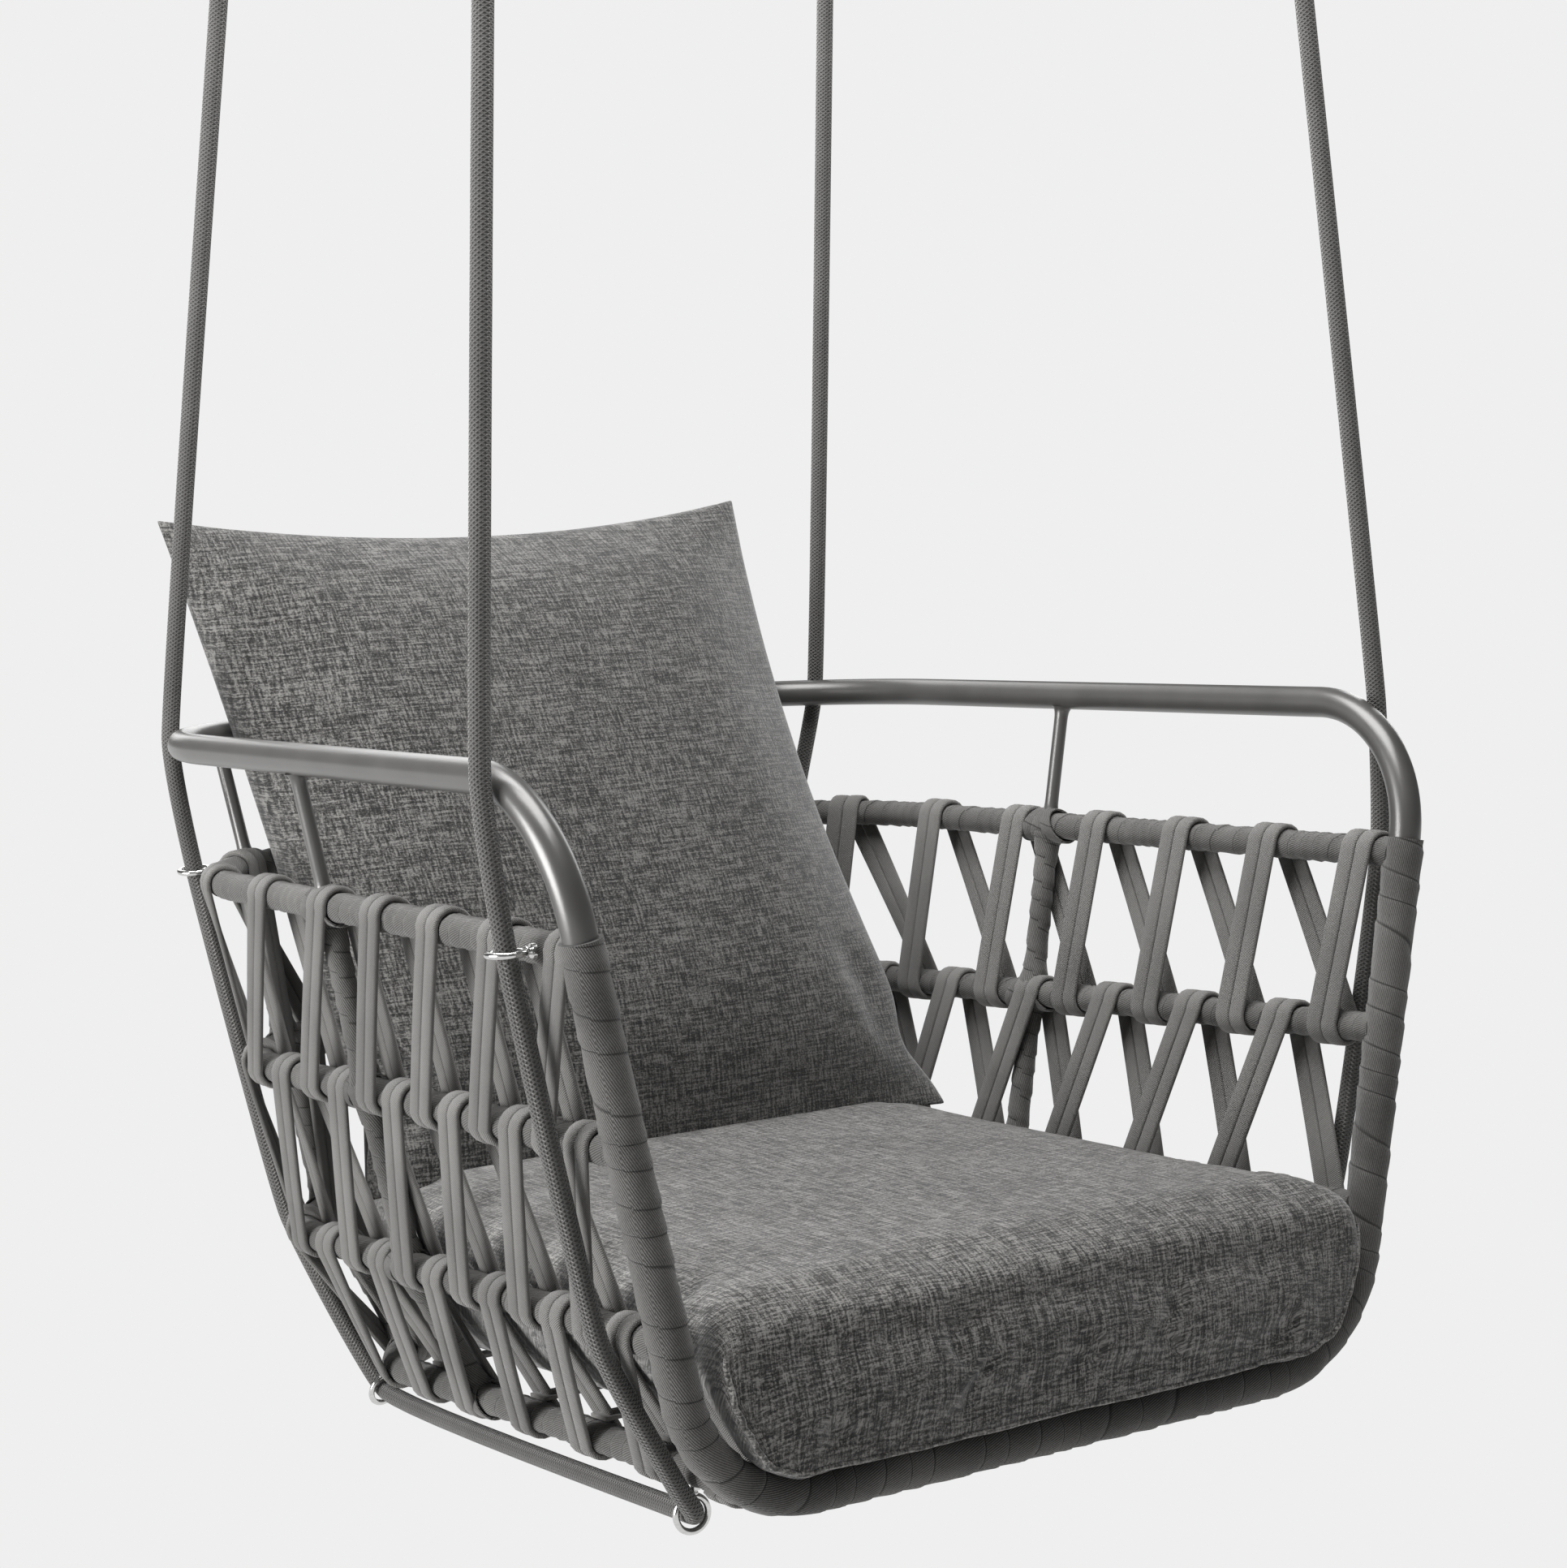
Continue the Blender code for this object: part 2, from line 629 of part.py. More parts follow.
def build_eye_bolts(steel, chair):
    for label, side in SIDES.items():
        stops, ways = sling_stops(side), sling_ways(side)
        rail = RAIL["upper"]
        off = RAIL_WRAP_RADIUS + 2 * GAP
        feet = {
            "upper_front": (1, rail.side_point(side, FRONT_EYE_Y)),
            "lower_front": (4, RAIL["bottom"].side_point(side, BOTTOM_EYE_FRONT_Y)),
            "lower_rear": (5, RAIL["bottom"].corner_point(side, BOTTOM_EYE_REAR_ANGLE)),
            "upper_rear": (7, rail.corner_point(side, REAR_EYE_ANGLE)),
        }
        for place, (stop, foot) in feet.items():
            eye_bolt(f"eye_bolt_{place}_{label}", stops[stop], ways[stop], foot, off, steel, chair)


def build_slings(rope, chair):
    for label, side in SIDES.items():
        route = bezier_route(sling_stops(side), sling_ways(side), handle=0.030, steps=8)
        tube(f"rope_sling_{label}", route, ROPE_RADIUS, rope, chair, sides=8)


def chair_to_row(point, chair_place):
    return chair_place + Matrix.Rotation(-CHAIR_LEAN, 3, "X") @ point


def rope_spans(chair_place):
    """For each rope, its name, contact with the armrest and hook point, in the row frame."""
    for label, side in SIDES.items():
        stops = sling_stops(side)
        for place, contact, lean in (("front", stops[0], FRONT_ROPE_LEAN), ("rear", stops[-1], REAR_ROPE_LEAN)):
            low = chair_to_row(contact, chair_place)
            rise = -PIVOT_DROP - low.z
            high = low + Vector((-side * lean[0] * rise, lean[1] * rise, rise))
            yield f"{place}_{label}", low, high


def build_span(name, low, high, rope, steel, frame):
    """The free stretch of a rope with the eye terminal on its top end."""
    shift = frame.location
    run = (high - low).normalized()
    hook = high - shift
    eye_centre = hook + run * (2 * FITTING_WIRE + GAP - TERMINAL_RING_RADIUS)
    ferrule_end = hook - run * TERMINAL_LENGTH
    terminal = ring(
        f"rope_terminal_{name}", eye_centre, Vector((1, 0, 0)), TERMINAL_RING_RADIUS, FITTING_WIRE, steel, frame, 24
    )
    ferrule_top = eye_centre - run * (TERMINAL_RING_RADIUS + 0.001)
    weld(terminal, solid_bar(f"ferrule_{name}", ferrule_top, ferrule_end, FERRULE_RADIUS, 16, steel, frame))
    start, end = ferrule_end - run * GAP, low - shift + run * ROPE_SPLIT
    steps = 16
    route = [start.lerp(end, i / steps) for i in range(steps + 1)]
    tube(f"rope_span_{name}", route, ROPE_RADIUS, rope, frame, sides=8)


def build_hanger(name, high, steel, ceiling):
    """A ceiling plate with four screw holes and a welded ring."""
    shape = bmesh.new()
    size = (HANGER_PLATE_SIDE, HANGER_PLATE_SIDE, HANGER_PLATE_THICKNESS)
    place = Matrix.Translation((high.x, high.y, -HANGER_PLATE_THICKNESS / 2)) @ Matrix.Diagonal((*size, 1))
    bmesh.ops.create_cube(shape, size=1, matrix=place)
    plate = add_mesh(f"ceiling_hanger_{name}", shape, steel, ceiling)
    centre = Vector((high.x, high.y, -HANGER_RING_CENTRE_DROP))
    ring_name = f"hanger_ring_{name}"
    weld(plate, ring(ring_name, centre, Vector((0, 1, 0)), HANGER_RING_RADIUS, FITTING_WIRE, steel, ceiling, 24))
    for k, (dx, dy) in enumerate(((-1, -1), (1, 1), (-1, 1), (1, -1))):
        at = Vector((high.x + dx * 0.021, high.y + dy * 0.021, 0))
        ends = (at - UP * 0.01, at + UP * 0.01)
        hole = solid_bar(f"screw_hole_{name}_{k}", *ends, SCREW_HOLE_RADIUS, 12, steel, ceiling)
        cut(plate, hole)


def build():
    clear_scene()
    paint = material("satin_anthracite_paint", (0.035, 0.034, 0.032), 0.38, 0.3)
    strap = material("woven_strap", (0.115, 0.112, 0.105), 0.88)
    rope = material("braided_rope", (0.060, 0.058, 0.055), 0.85)
    fabric = material("melange_fabric", (0.085, 0.085, 0.083), 0.92)
    steel = material("stainless_steel", (0.62, 0.62, 0.61), 0.18, 1.0)

    contact = sling_stops(1)[0]
    arm_level = Vector((0, 0, -PIVOT_DROP - PIVOT_HEIGHT))
    leaned = Matrix.Rotation(-CHAIR_LEAN, 3, "X")
    hooks = [high for _, _, high in rope_spans(arm_level)]
    chair_place = arm_level - Vector((0, sum(high.y for high in hooks) / len(hooks), 0))

    chair_pivot = add_frame("chair_pivot", chair_place + leaned @ Vector((0, contact.y, contact.z)), CHAIR_LEAN)
    chair = add_frame("chair_frame", Vector((0, -contact.y, -contact.z)))
    chair.parent = chair_pivot

    build_top_rail(paint, chair)
    build_front_hoop(paint, strap, chair)
    build_rails(paint, strap, chair)
    build_uprights(paint, strap, chair)
    build_weave(strap, chair)
    build_deck(strap, chair)
    build_seat_cushion(fabric, chair)
    build_back_pillow(fabric, chair)
    build_eye_bolts(steel, chair)
    build_slings(rope, chair)

    spans = list(rope_spans(chair_place))
    ceiling = add_frame("ceiling", Vector((0, 0, 0)))
    front_hooks = add_frame("front_rope_pivot", Vector((0, spans[0][2].y, -PIVOT_DROP)))
    rear_contact = spans[1][1]
    rear_ropes = add_frame("rear_rope_pivot", Vector((0, rear_contact.y, rear_contact.z)))
    for name, low, high in spans:
        frame = front_hooks if name.startswith("front") else rear_ropes
        build_span(name, low, high, rope, steel, frame)
        build_hanger(name, high, steel, ceiling)


build()
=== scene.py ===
"""Looks for the hanging swing chair: woven straps, wrapped tubes, braided ropes and two fabric cushions.

Pieces of the chair are drawn in the chair's own frame, whose origin lies in the plane of the armrests, and
are placed by CHAIR, the chair's lean and its place under the ceiling. The shared frame has its origin on the
ceiling.
"""

import math

import bpy
import numpy as np
from mathutils import Matrix, Vector, noise
from mathutils.bvhtree import BVHTree


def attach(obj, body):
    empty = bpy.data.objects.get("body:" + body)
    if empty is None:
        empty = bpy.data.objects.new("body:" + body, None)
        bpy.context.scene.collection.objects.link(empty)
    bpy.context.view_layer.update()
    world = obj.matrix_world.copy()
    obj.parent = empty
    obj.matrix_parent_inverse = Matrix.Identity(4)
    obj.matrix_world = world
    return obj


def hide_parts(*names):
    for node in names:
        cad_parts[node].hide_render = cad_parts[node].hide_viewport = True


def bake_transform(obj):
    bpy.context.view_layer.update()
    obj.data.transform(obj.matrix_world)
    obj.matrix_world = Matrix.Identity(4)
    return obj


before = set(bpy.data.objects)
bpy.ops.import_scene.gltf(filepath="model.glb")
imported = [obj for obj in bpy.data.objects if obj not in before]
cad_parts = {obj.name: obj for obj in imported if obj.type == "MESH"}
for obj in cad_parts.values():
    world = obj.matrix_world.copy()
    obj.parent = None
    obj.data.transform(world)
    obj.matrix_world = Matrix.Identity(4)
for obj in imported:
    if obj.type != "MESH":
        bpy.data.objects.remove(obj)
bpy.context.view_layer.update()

# Sizes shared with the CAD, in metres
CHAIR_LEAN = math.radians(4.54)
CHAIR_PLACE = Vector((0.0, -0.065374, -0.779))
CHAIR = Matrix.Translation(CHAIR_PLACE) @ Matrix.Rotation(-CHAIR_LEAN, 4, "X")
FRONT_Y = -0.350
ARM_HALF_WIDTH = 0.391
SIDE_SPLAY = 0.029
POST_LEAN = 0.190
POST_TOP_Z = -0.019
TOP_TUBE_RADIUS = 0.0125
HOOP_WRAP_RADIUS = 0.0160
WRAP_RADIUS = 0.0125
STRUT_RADIUS = 0.0060
POST_WRAP_RADIUS = 0.0105
ARM_BEND_RADIUS = 0.104
HOOP_CORNER_RADIUS = 0.105
HOOP_BOTTOM_Z = -0.510
WRAP_START_Z = -0.105
TOP_BACK_Y = 0.495
TOP_CORNER_RADIUS = 0.225
MID_POST_Y = 0.080
CORNER_POST_ANGLE = math.radians(52)
# Each rail's half width and height at its front, fall per metre, place of its back, and radius of its corners
RAIL_SIZES = {
    "upper": (0.369, -0.116, 0.000, 0.468, 0.205),
    "middle": (0.343, -0.253, 0.030, 0.445, 0.185),
    "lower": (0.315, -0.391, 0.045, 0.415, 0.160),
    "bottom": (0.258, -0.499, 0.065, 0.340, 0.125),
}

# The weave, in cycles of a strap pair: how many lie between the posts of each stretch
CYCLES_FRONT_LEFT = 4.25
CYCLES_FRONT_RIGHT = 4.0
CYCLES_TO_CORNER = 3.0
CYCLES_ACROSS_BACK = 6.18
CYCLES_FROM_END = 0.12
# Each row's two rails, the shares of a cycle at which it turns over one and under the other, and its lean
# in degrees
WEAVE_ROWS = {
    "upper": ("upper", "middle", 0.90, 1.74, 11),
    "middle": ("middle", "lower", 0.25, 0.79, 10),
    "lower": ("lower", "bottom", 0.30, 1.04, 28),
}
BAND_WIDTH = 0.0153
BAND_THICKNESS = 0.0046
BAND_SPACING = 0.0163
TURNING_SECTIONS = 10
TURNING_STEP = 20

# Windings of strap round the tubes. Slack waves make their turns uneven: each has a size in turns and a rate
# per metre. A junction's turns each have an offset along the rail and a slant
RAIL_WINDING_PITCH = 0.018
HOOP_WINDING_PITCH = 0.026
WINDING_STEP = 0.0013
SLACK_WAVES = ((0.30, 37.0), (0.18, 91.0))
JUNCTION_TURNS = ((-0.013, 0.8), (0.012, -0.8), (-0.002, 0.35))

# Cushions
SEAT_TOP_Z = -0.366
SEAT_VOXEL = 0.006
PILLOW_TOP = Vector((0.308, 0.510, 0.196))
PILLOW_BOTTOM = Vector((0.296, 0.168, -0.364))
PILLOW_FRONT_BULGE = 0.086
PILLOW_BACK_BULGE = 0.050
PILLOW_STEPS = 84
CLOTH_FRAMES = 20

# Ropes and rings
ROPE_RADIUS = 0.0077
RING_RADIUS = 0.0129
RING_WIRE = 0.0025
UPPER_FRONT_RING_Y = -0.295
LOWER_FRONT_RING_Y = -0.266
LOWER_REAR_RING_ANGLE = math.radians(33)
UPPER_REAR_RING_ANGLE = math.radians(45.5)
FRONT_ROPE_LEAN = (0.077, 0.1056)
REAR_ROPE_LEAN = (0.056, -0.1060)
TERMINAL_TOP_Z = -0.039
TERMINAL_LENGTH = 0.046
ROPE_POINT_SPACING = 0.006

# Camera and studio
LENS = 70.87
CAMERA_PLACE = Vector((-1.3635, -2.0956, 0.3200))
CAMERA_ANGLES = (math.radians(81.65), 0.0, math.radians(-33.47))
BACKDROP = 0.863
WORLD_LIGHT = 0.13
FLOOR_Z = -1.80
FLOOR_HALF = 14.0
LIGHT_AIM = Vector((0.0, 0.0, -0.95))
# Each area light's place, sizes and power
LIGHTS = {
    "key_left": ((-2.4, 0.10, -0.70), (1.4, 1.2), 88),
    "overhead": ((-0.35, -0.10, 0.70), (1.8, 1.2), 66),
    "fill_back": ((0.5, 2.5, 0.1), (1.6, 1.6), 20),
    "rim_right": ((2.2, 0.9, 0.2), (0.8, 1.8), 16),
}

UP = Vector((0, 0, 1))
SIDES = {"left": -1, "right": 1}


# ---------------------------------------------------------------- paths


def filleted(corners, radii, steps=28):
    """The points of a broken line whose inner corners are rounded, each with its own radius."""
    points = [corners[0]]
    for before, corner, after, radius in zip(corners, corners[1:], corners[2:], radii):
        back = (before - corner).normalized()
        ahead = (after - corner).normalized()
        half = back.angle(ahead) / 2
        centre = corner + (back + ahead).normalized() * radius / math.sin(half)
        first = corner + back * radius / math.tan(half) - centre
        axis = back.cross(ahead).normalized()
        turn = 2 * half - math.pi
        for step in range(steps + 1):
            points.append(centre + Matrix.Rotation(turn * step / steps, 3, axis) @ first)
    points.append(corners[-1])
    return points


def resampled(points, spacing):
    """The same line with points at an even spacing."""
    line = np.array([tuple(point) for point in points])
    reached = np.concatenate([[0.0], np.cumsum(np.linalg.norm(np.diff(line, axis=0), axis=1))])
    count = max(2, round(reached[-1] / spacing) + 1)
    where = np.linspace(0.0, reached[-1], count)
    return [Vector([np.interp(at, reached, line[:, axis]) for axis in range(3)]) for at in where]


def through(stops):
    """The direction of a route at each of its stops, halfway between its runs."""
    runs = [(b - a).normalized() for a, b in zip(stops, stops[1:])]
    inner = [(a + b).normalized() for a, b in zip(runs, runs[1:])]
    return [runs[0], *inner, runs[-1]]


def bezier_route(stops, ways, handle=0.030, steps=14):
    """A smooth curve through the stops of a rope, each with its direction and a short handle."""
    points = [stops[0]]
    for start, end, leave, arrive in zip(stops, stops[1:], ways, ways[1:]):
        reach = min(handle, (end - start).length * 0.35)
        a, b = start + leave * reach, end - arrive * reach
        for step in range(1, steps + 1):
            t = 0.5 - 0.5 * math.cos(math.pi * step / steps)
            points.append(
                start * (1 - t) ** 3 + a * 3 * t * (1 - t) ** 2 + b * 3 * t * t * (1 - t) + end * t**3
            )
    return points


class Rail:
    """One of the U-shaped rails round the seat, from the left front post to the right one."""

    def __init__(self, half_width, front_z, fall, back_y, corner_radius):
        self.half_width = half_width
        self.front_z = front_z
        self.fall = fall
        self.back_y = back_y
        self.corner_radius = corner_radius
        front = FRONT_Y + 0.004
        corners = [self.side_point(-1, front), self.side_point(-1, back_y)]
        corners += [self.side_point(1, back_y), self.side_point(1, front)]
        self.points = filleted(corners, (corner_radius, corner_radius))
        self.fine = np.array([tuple(point) for point in resampled(self.points, 0.001)])
        lengths = np.linalg.norm(np.diff(self.fine, axis=0), axis=1)
        self.along = np.concatenate([[0.0], np.cumsum(lengths)])

    def width_at(self, y):
        return self.half_width - SIDE_SPLAY * (y - FRONT_Y)

    def height_at(self, y):
        return self.front_z - self.fall * (y - FRONT_Y)

    def side_point(self, side, y):
        return Vector((side * self.width_at(y), y, self.height_at(y)))

    def corner_point(self, side, angle, out=0.0):
        """A point of the rear corner, angle measured from straight sideways, moved out from the tube."""
        y0 = self.back_y - self.corner_radius
        reach = self.corner_radius + out
        y = y0 + reach * math.sin(angle)
        x = self.width_at(y0) - self.corner_radius + reach * math.cos(angle)
        return Vector((side * x, y, self.height_at(y)))

    def length_to(self, point):
        return self.along[np.linalg.norm(self.fine - np.array(tuple(point)), axis=1).argmin()]

    def at_length(self, length):
        """The point at a length along the rail, with the rail's direction and the outward direction."""
        def read(where):
            return Vector([np.interp(where, self.along, self.fine[:, axis]) for axis in range(3)])

        ahead = (read(length + 0.003) - read(length - 0.003)).normalized()
        return read(length), ahead, UP.cross(ahead).normalized()

    def at_cycle(self, cycle):
        """The same, at a number of strap cycles counted from the left mid post."""
        total = self.along[-1]
        mid = self.length_to(self.side_point(-1, MID_POST_Y))
        corner = self.length_to(self.corner_point(-1, CORNER_POST_ANGLE))
        lengths = [0.0, mid, corner, total - corner, total - mid, total]
        behind = (CYCLES_TO_CORNER, CYCLES_ACROSS_BACK, CYCLES_TO_CORNER)
        counts = np.cumsum([-CYCLES_FRONT_LEFT, CYCLES_FRONT_LEFT, *behind, CYCLES_FRONT_RIGHT])
        return self.at_length(float(np.interp(cycle, counts, lengths)))


TOP_RAIL = Rail(ARM_HALF_WIDTH, 0.0, 0.0, TOP_BACK_Y, TOP_CORNER_RADIUS)
RAILS = {name: Rail(*sizes) for name, sizes in RAIL_SIZES.items()}


def post_point(side, z):
    """The centre line of a front post at a height."""
    at_arm = ARM_HALF_WIDTH - POST_LEAN * POST_TOP_Z
    return Vector((side * (at_arm + POST_LEAN * z), FRONT_Y, z))


# ---------------------------------------------------------------- surfaces


class Surface:
    """Collects strips of quads, each with a map in metres: u along the strip, v round or across it."""

    def __init__(self):
        self.points = []
        self.faces = []
        self.maps = []

    def add(self, rings, caps=True, place=CHAIR):
        """Adds a closed tube through rings of points."""
        first = len(self.points)
        size = len(rings[0])
        for ring in rings:
            self.points.extend(place @ point for point in ring)
        around = [0.0]
        middle = rings[len(rings) // 2]
        for k in range(size):
            around.append(around[-1] + (middle[(k + 1) % size] - middle[k]).length)
        along = 0.0
        for i in range(len(rings) - 1):
            centre = sum(rings[i], Vector()) / size
            after = along + (sum(rings[i + 1], Vector()) / size - centre).length
            for k in range(size):
                n = (k + 1) % size
                low, high = first + i * size, first + (i + 1) * size
                self.faces.append((low + k, low + n, high + n, high + k))
                self.maps.append(
                    ((along, around[k]), (along, around[k + 1]), (after, around[k + 1]), (after, around[k]))
                )
            along = after
        if caps:
            last = first + (len(rings) - 1) * size
            self.faces.append(tuple(first + k for k in reversed(range(size))))
            self.maps.append(((0.0, 0.0),) * size)
            self.faces.append(tuple(last + k for k in range(size)))
            self.maps.append(((along, 0.0),) * size)

    def loop(self, rings, place=CHAIR):
        """Adds a closed ring of rings, such as a torus."""
        self.add([*rings, rings[0]], caps=False, place=place)

    def piece(self, name, finish, body="chair", sharp=40):
        """Turns what was collected into an object that rides on a body."""
        mesh = bpy.data.meshes.new(name)
        mesh.from_pydata([tuple(point) for point in self.points], [], self.faces)
        layer = mesh.uv_layers.new(name="strip")
        flat = [corner for face in self.maps for pair in face for corner in pair]
        layer.data.foreach_set("uv", flat)
        mesh.shade_smooth()
        mesh.set_sharp_from_angle(angle=math.radians(sharp))
        mesh.materials.append(finish)
        made = bpy.data.objects.new(name, mesh)
        bpy.context.scene.collection.objects.link(made)
        if body:
            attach(made, body)
        return made


def frames_along(points):
    """A sideways and an upward direction at each point of a line, turning as little as they can."""
    found = []
    across = None
    for i, point in enumerate(points):
        ahead = (points[min(i + 1, len(points) - 1)] - points[max(i - 1, 0)]).normalized()
        if across is None:
            across = ahead.orthogonal().normalized()
        across = (across - ahead * across.dot(ahead)).normalized()
        found.append((point, across, ahead.cross(across)))
    return found


def tube_rings(points, radius, sides=20):
    """Rings of a round bar; radius is a number, or a function of the length and the angle."""
    rings = []
    along = 0.0
    before = points[0]
    for point, across, above in frames_along(points):
        along += (point - before).length
        before = point
        ring = []
        for k in range(sides):
            angle = 2 * math.pi * k / sides
            reach = radius(along, angle) if callable(radius) else radius
            ring.append(point + (across * math.cos(angle) + above * math.sin(angle)) * reach)
        rings.append(ring)
    return rings


def wound(radius, pitch=RAIL_WINDING_PITCH):
    """The radius of a tube that a strap is wound round: each turn laps a little over the last one."""

    def reach(along, angle):
        slack = sum(size * math.sin(along * rate) for size, rate in SLACK_WAVES)
        place = along / pitch + angle / (2 * math.pi) + slack
        turn = place - math.floor(place)
        lap = min(turn / 0.88, (1 - turn) / 0.12)
        ripple = noise.noise(Vector((along * 90.0, 3 * math.cos(angle), 3 * math.sin(angle))))
        return radius - WINDING_STEP * (1 - 0.9 * lap) + 0.0004 * ripple

    return reach


def capped(name, points, radius, finish, sides=20):
    """A round bar with closed ends, as a piece of the chair."""
    surface = Surface()
    surface.add(tube_rings(points, radius, sides))
    return surface.piece(name, finish)


# ---------------------------------------------------------------- materials


class Nodes:
    """A short way to write node trees."""

    def __init__(self, name):
        self.material = bpy.data.materials.new(name)
        self.material.use_nodes = True
        self.tree = self.material.node_tree
        self.shader = self.tree.nodes["Principled BSDF"]

    def node(self, kind, **settings):
        made = self.tree.nodes.new(kind)
        for key, value in settings.items():
            setattr(made, key, value)
        return made

    def feed(self, value, socket):
        if isinstance(value, bpy.types.NodeSocket):
            self.tree.links.new(value, socket)
        elif value is not None:
            socket.default_value = value

    def math(self, operation, first, second=None, third=None):
        made = self.node("ShaderNodeMath", operation=operation)
        for socket, value in zip(made.inputs, (first, second, third)):
            self.feed(value, socket)
        return made.outputs[0]

    def noise(self, vector, scale, detail=2.0, roughness=0.5):
        made = self.node("ShaderNodeTexNoise")
        self.feed(vector, made.inputs["Vector"])
        made.inputs["Scale"].default_value = scale
        made.inputs["Detail"].default_value = detail
        made.inputs["Roughness"].default_value = roughness
        return made.outputs["Fac"]

    def scaled(self, vector, factors):
        made = self.node("ShaderNodeVectorMath", operation="MULTIPLY")
        self.feed(vector, made.inputs[0])
        made.inputs[1].default_value = factors
        return made.outputs[0]

    def strip(self):
        """The strip map's u and v, in metres."""
        made = self.node("ShaderNodeUVMap", uv_map="strip")
        parts = self.node("ShaderNodeSeparateXYZ")
        self.feed(made.outputs[0], parts.inputs[0])
        return parts.outputs[0], parts.outputs[1]

    def place(self):
        return self.node("ShaderNodeTexCoord").outputs["Object"]

    def ramp(self, value, stops):
        made = self.node("ShaderNodeValToRGB")
        self.feed(value, made.inputs[0])
        ramp = made.color_ramp
        while len(ramp.elements) < len(stops):
            ramp.elements.new(0.5)
        for element, (position, colour) in zip(ramp.elements, stops):
            element.position = position
            element.color = (*colour, 1.0)
        return made.outputs[0]

    def bump(self, height, strength, distance, normal=None):
        made = self.node("ShaderNodeBump")
        made.inputs["Strength"].default_value = strength
        made.inputs["Distance"].default_value = distance
        self.feed(height, made.inputs["Height"])
        self.feed(normal, made.inputs["Normal"])
        return made.outputs[0]

    def finish(self, colour=None, roughness=None, normal=None, **others):
        self.feed(colour, self.shader.inputs["Base Color"])
        self.feed(roughness, self.shader.inputs["Roughness"])
        self.feed(normal, self.shader.inputs["Normal"])
        for key, value in others.items():
            self.feed(value, self.shader.inputs[key.replace("_", " ")])
        return self.material


def grey(level, warmth=0.03):
    """A grey that leans a little to warm."""
    return (level * (1 + warmth), level, level * (1 - 1.6 * warmth))


def webbing(name, dark, light, rib=0.0015):
    """Woven strap: fine cross ribs with a twill step, seen on every wound and woven band."""
    n = Nodes(name)
    u, v = n.strip()
    place = n.place()
    slant = n.math("MULTIPLY_ADD", v, 0.55, u)
    ribs = n.math("SINE", n.math("MULTIPLY", slant, 2 * math.pi / rib))
    threads = n.math("SINE", n.math("MULTIPLY", v, 2 * math.pi / (rib * 0.9)))
    weave = n.math("MULTIPLY", ribs, n.math("MULTIPLY_ADD", threads, 0.35, 0.65))
    fuzz = n.noise(place, 900.0, 3.0, 0.7)
    patches = n.noise(place, 9.0, 3.0)
    tone = n.math("MULTIPLY_ADD", fuzz, 0.5, n.math("MULTIPLY", patches, 0.5))
    tone = n.math("MULTIPLY_ADD", weave, 0.22, tone)
    colour = n.ramp(tone, ((0.28, grey(dark)), (0.72, grey(light))))
    rough = n.math("MULTIPLY_ADD", fuzz, 0.2, 0.72)
    normal = n.bump(fuzz, 0.25, 0.0005, n.bump(weave, 0.8, 0.0005))
    return n.finish(colour, rough, normal, Sheen_Weight=0.25, Sheen_Roughness=0.4, Specular_IOR_Level=0.3)


def winding(name, dark, light, radius, pitch=RAIL_WINDING_PITCH):
    """Strap wound round a tube: webbing whose turns lap over each other, with painted shade along the seam
    between turns.
    """
    n = Nodes(name)
    u, v = n.strip()
    place = n.place()
    slack = 0.0
    for size, rate in SLACK_WAVES:
        slack = n.math("MULTIPLY_ADD", n.math("SINE", n.math("MULTIPLY", u, rate)), size, slack)
    turns = n.math("MULTIPLY_ADD", v, 1 / (2 * math.pi * radius), n.math("MULTIPLY", u, 1 / pitch))
    turn = n.math("FRACT", n.math("ADD", turns, slack))
    before = n.math("MULTIPLY", n.math("SUBTRACT", 1.0, turn), 34.0)
    lap_seam_shade = n.math("MINIMUM", n.math("MINIMUM", n.math("MULTIPLY", turn, 16.0), before), 1.0)
    ribs = n.math("SINE", n.math("MULTIPLY", n.math("MULTIPLY_ADD", u, 0.4, v), 2 * math.pi / 0.0017))
    fuzz = n.noise(place, 900.0, 3.0, 0.7)
    patches = n.noise(place, 11.0, 3.0)
    tone = n.math("MULTIPLY_ADD", fuzz, 0.5, n.math("MULTIPLY", patches, 0.5))
    tone = n.math("MULTIPLY_ADD", ribs, 0.14, tone)
    # Painted shade: the colour darkens along the seam where one turn laps over the next, down to the ramp's
    # darkest stop.
    tone = n.math("MULTIPLY", tone, n.math("MULTIPLY_ADD", lap_seam_shade, 0.60, 0.40))
    colour = n.ramp(tone, ((0.12, grey(dark * 0.3)), (0.42, grey(dark)), (0.66, grey(light))))
    rough = n.math("MULTIPLY_ADD", fuzz, 0.2, 0.72)
    raised = n.math("MULTIPLY_ADD", lap_seam_shade, 0.6, n.math("MULTIPLY", turn, 0.4))
    normal = n.bump(raised, 0.8, 0.0014, n.bump(ribs, 0.5, 0.0004))
    return n.finish(colour, rough, normal, Sheen_Weight=0.2, Sheen_Roughness=0.4, Specular_IOR_Level=0.3)


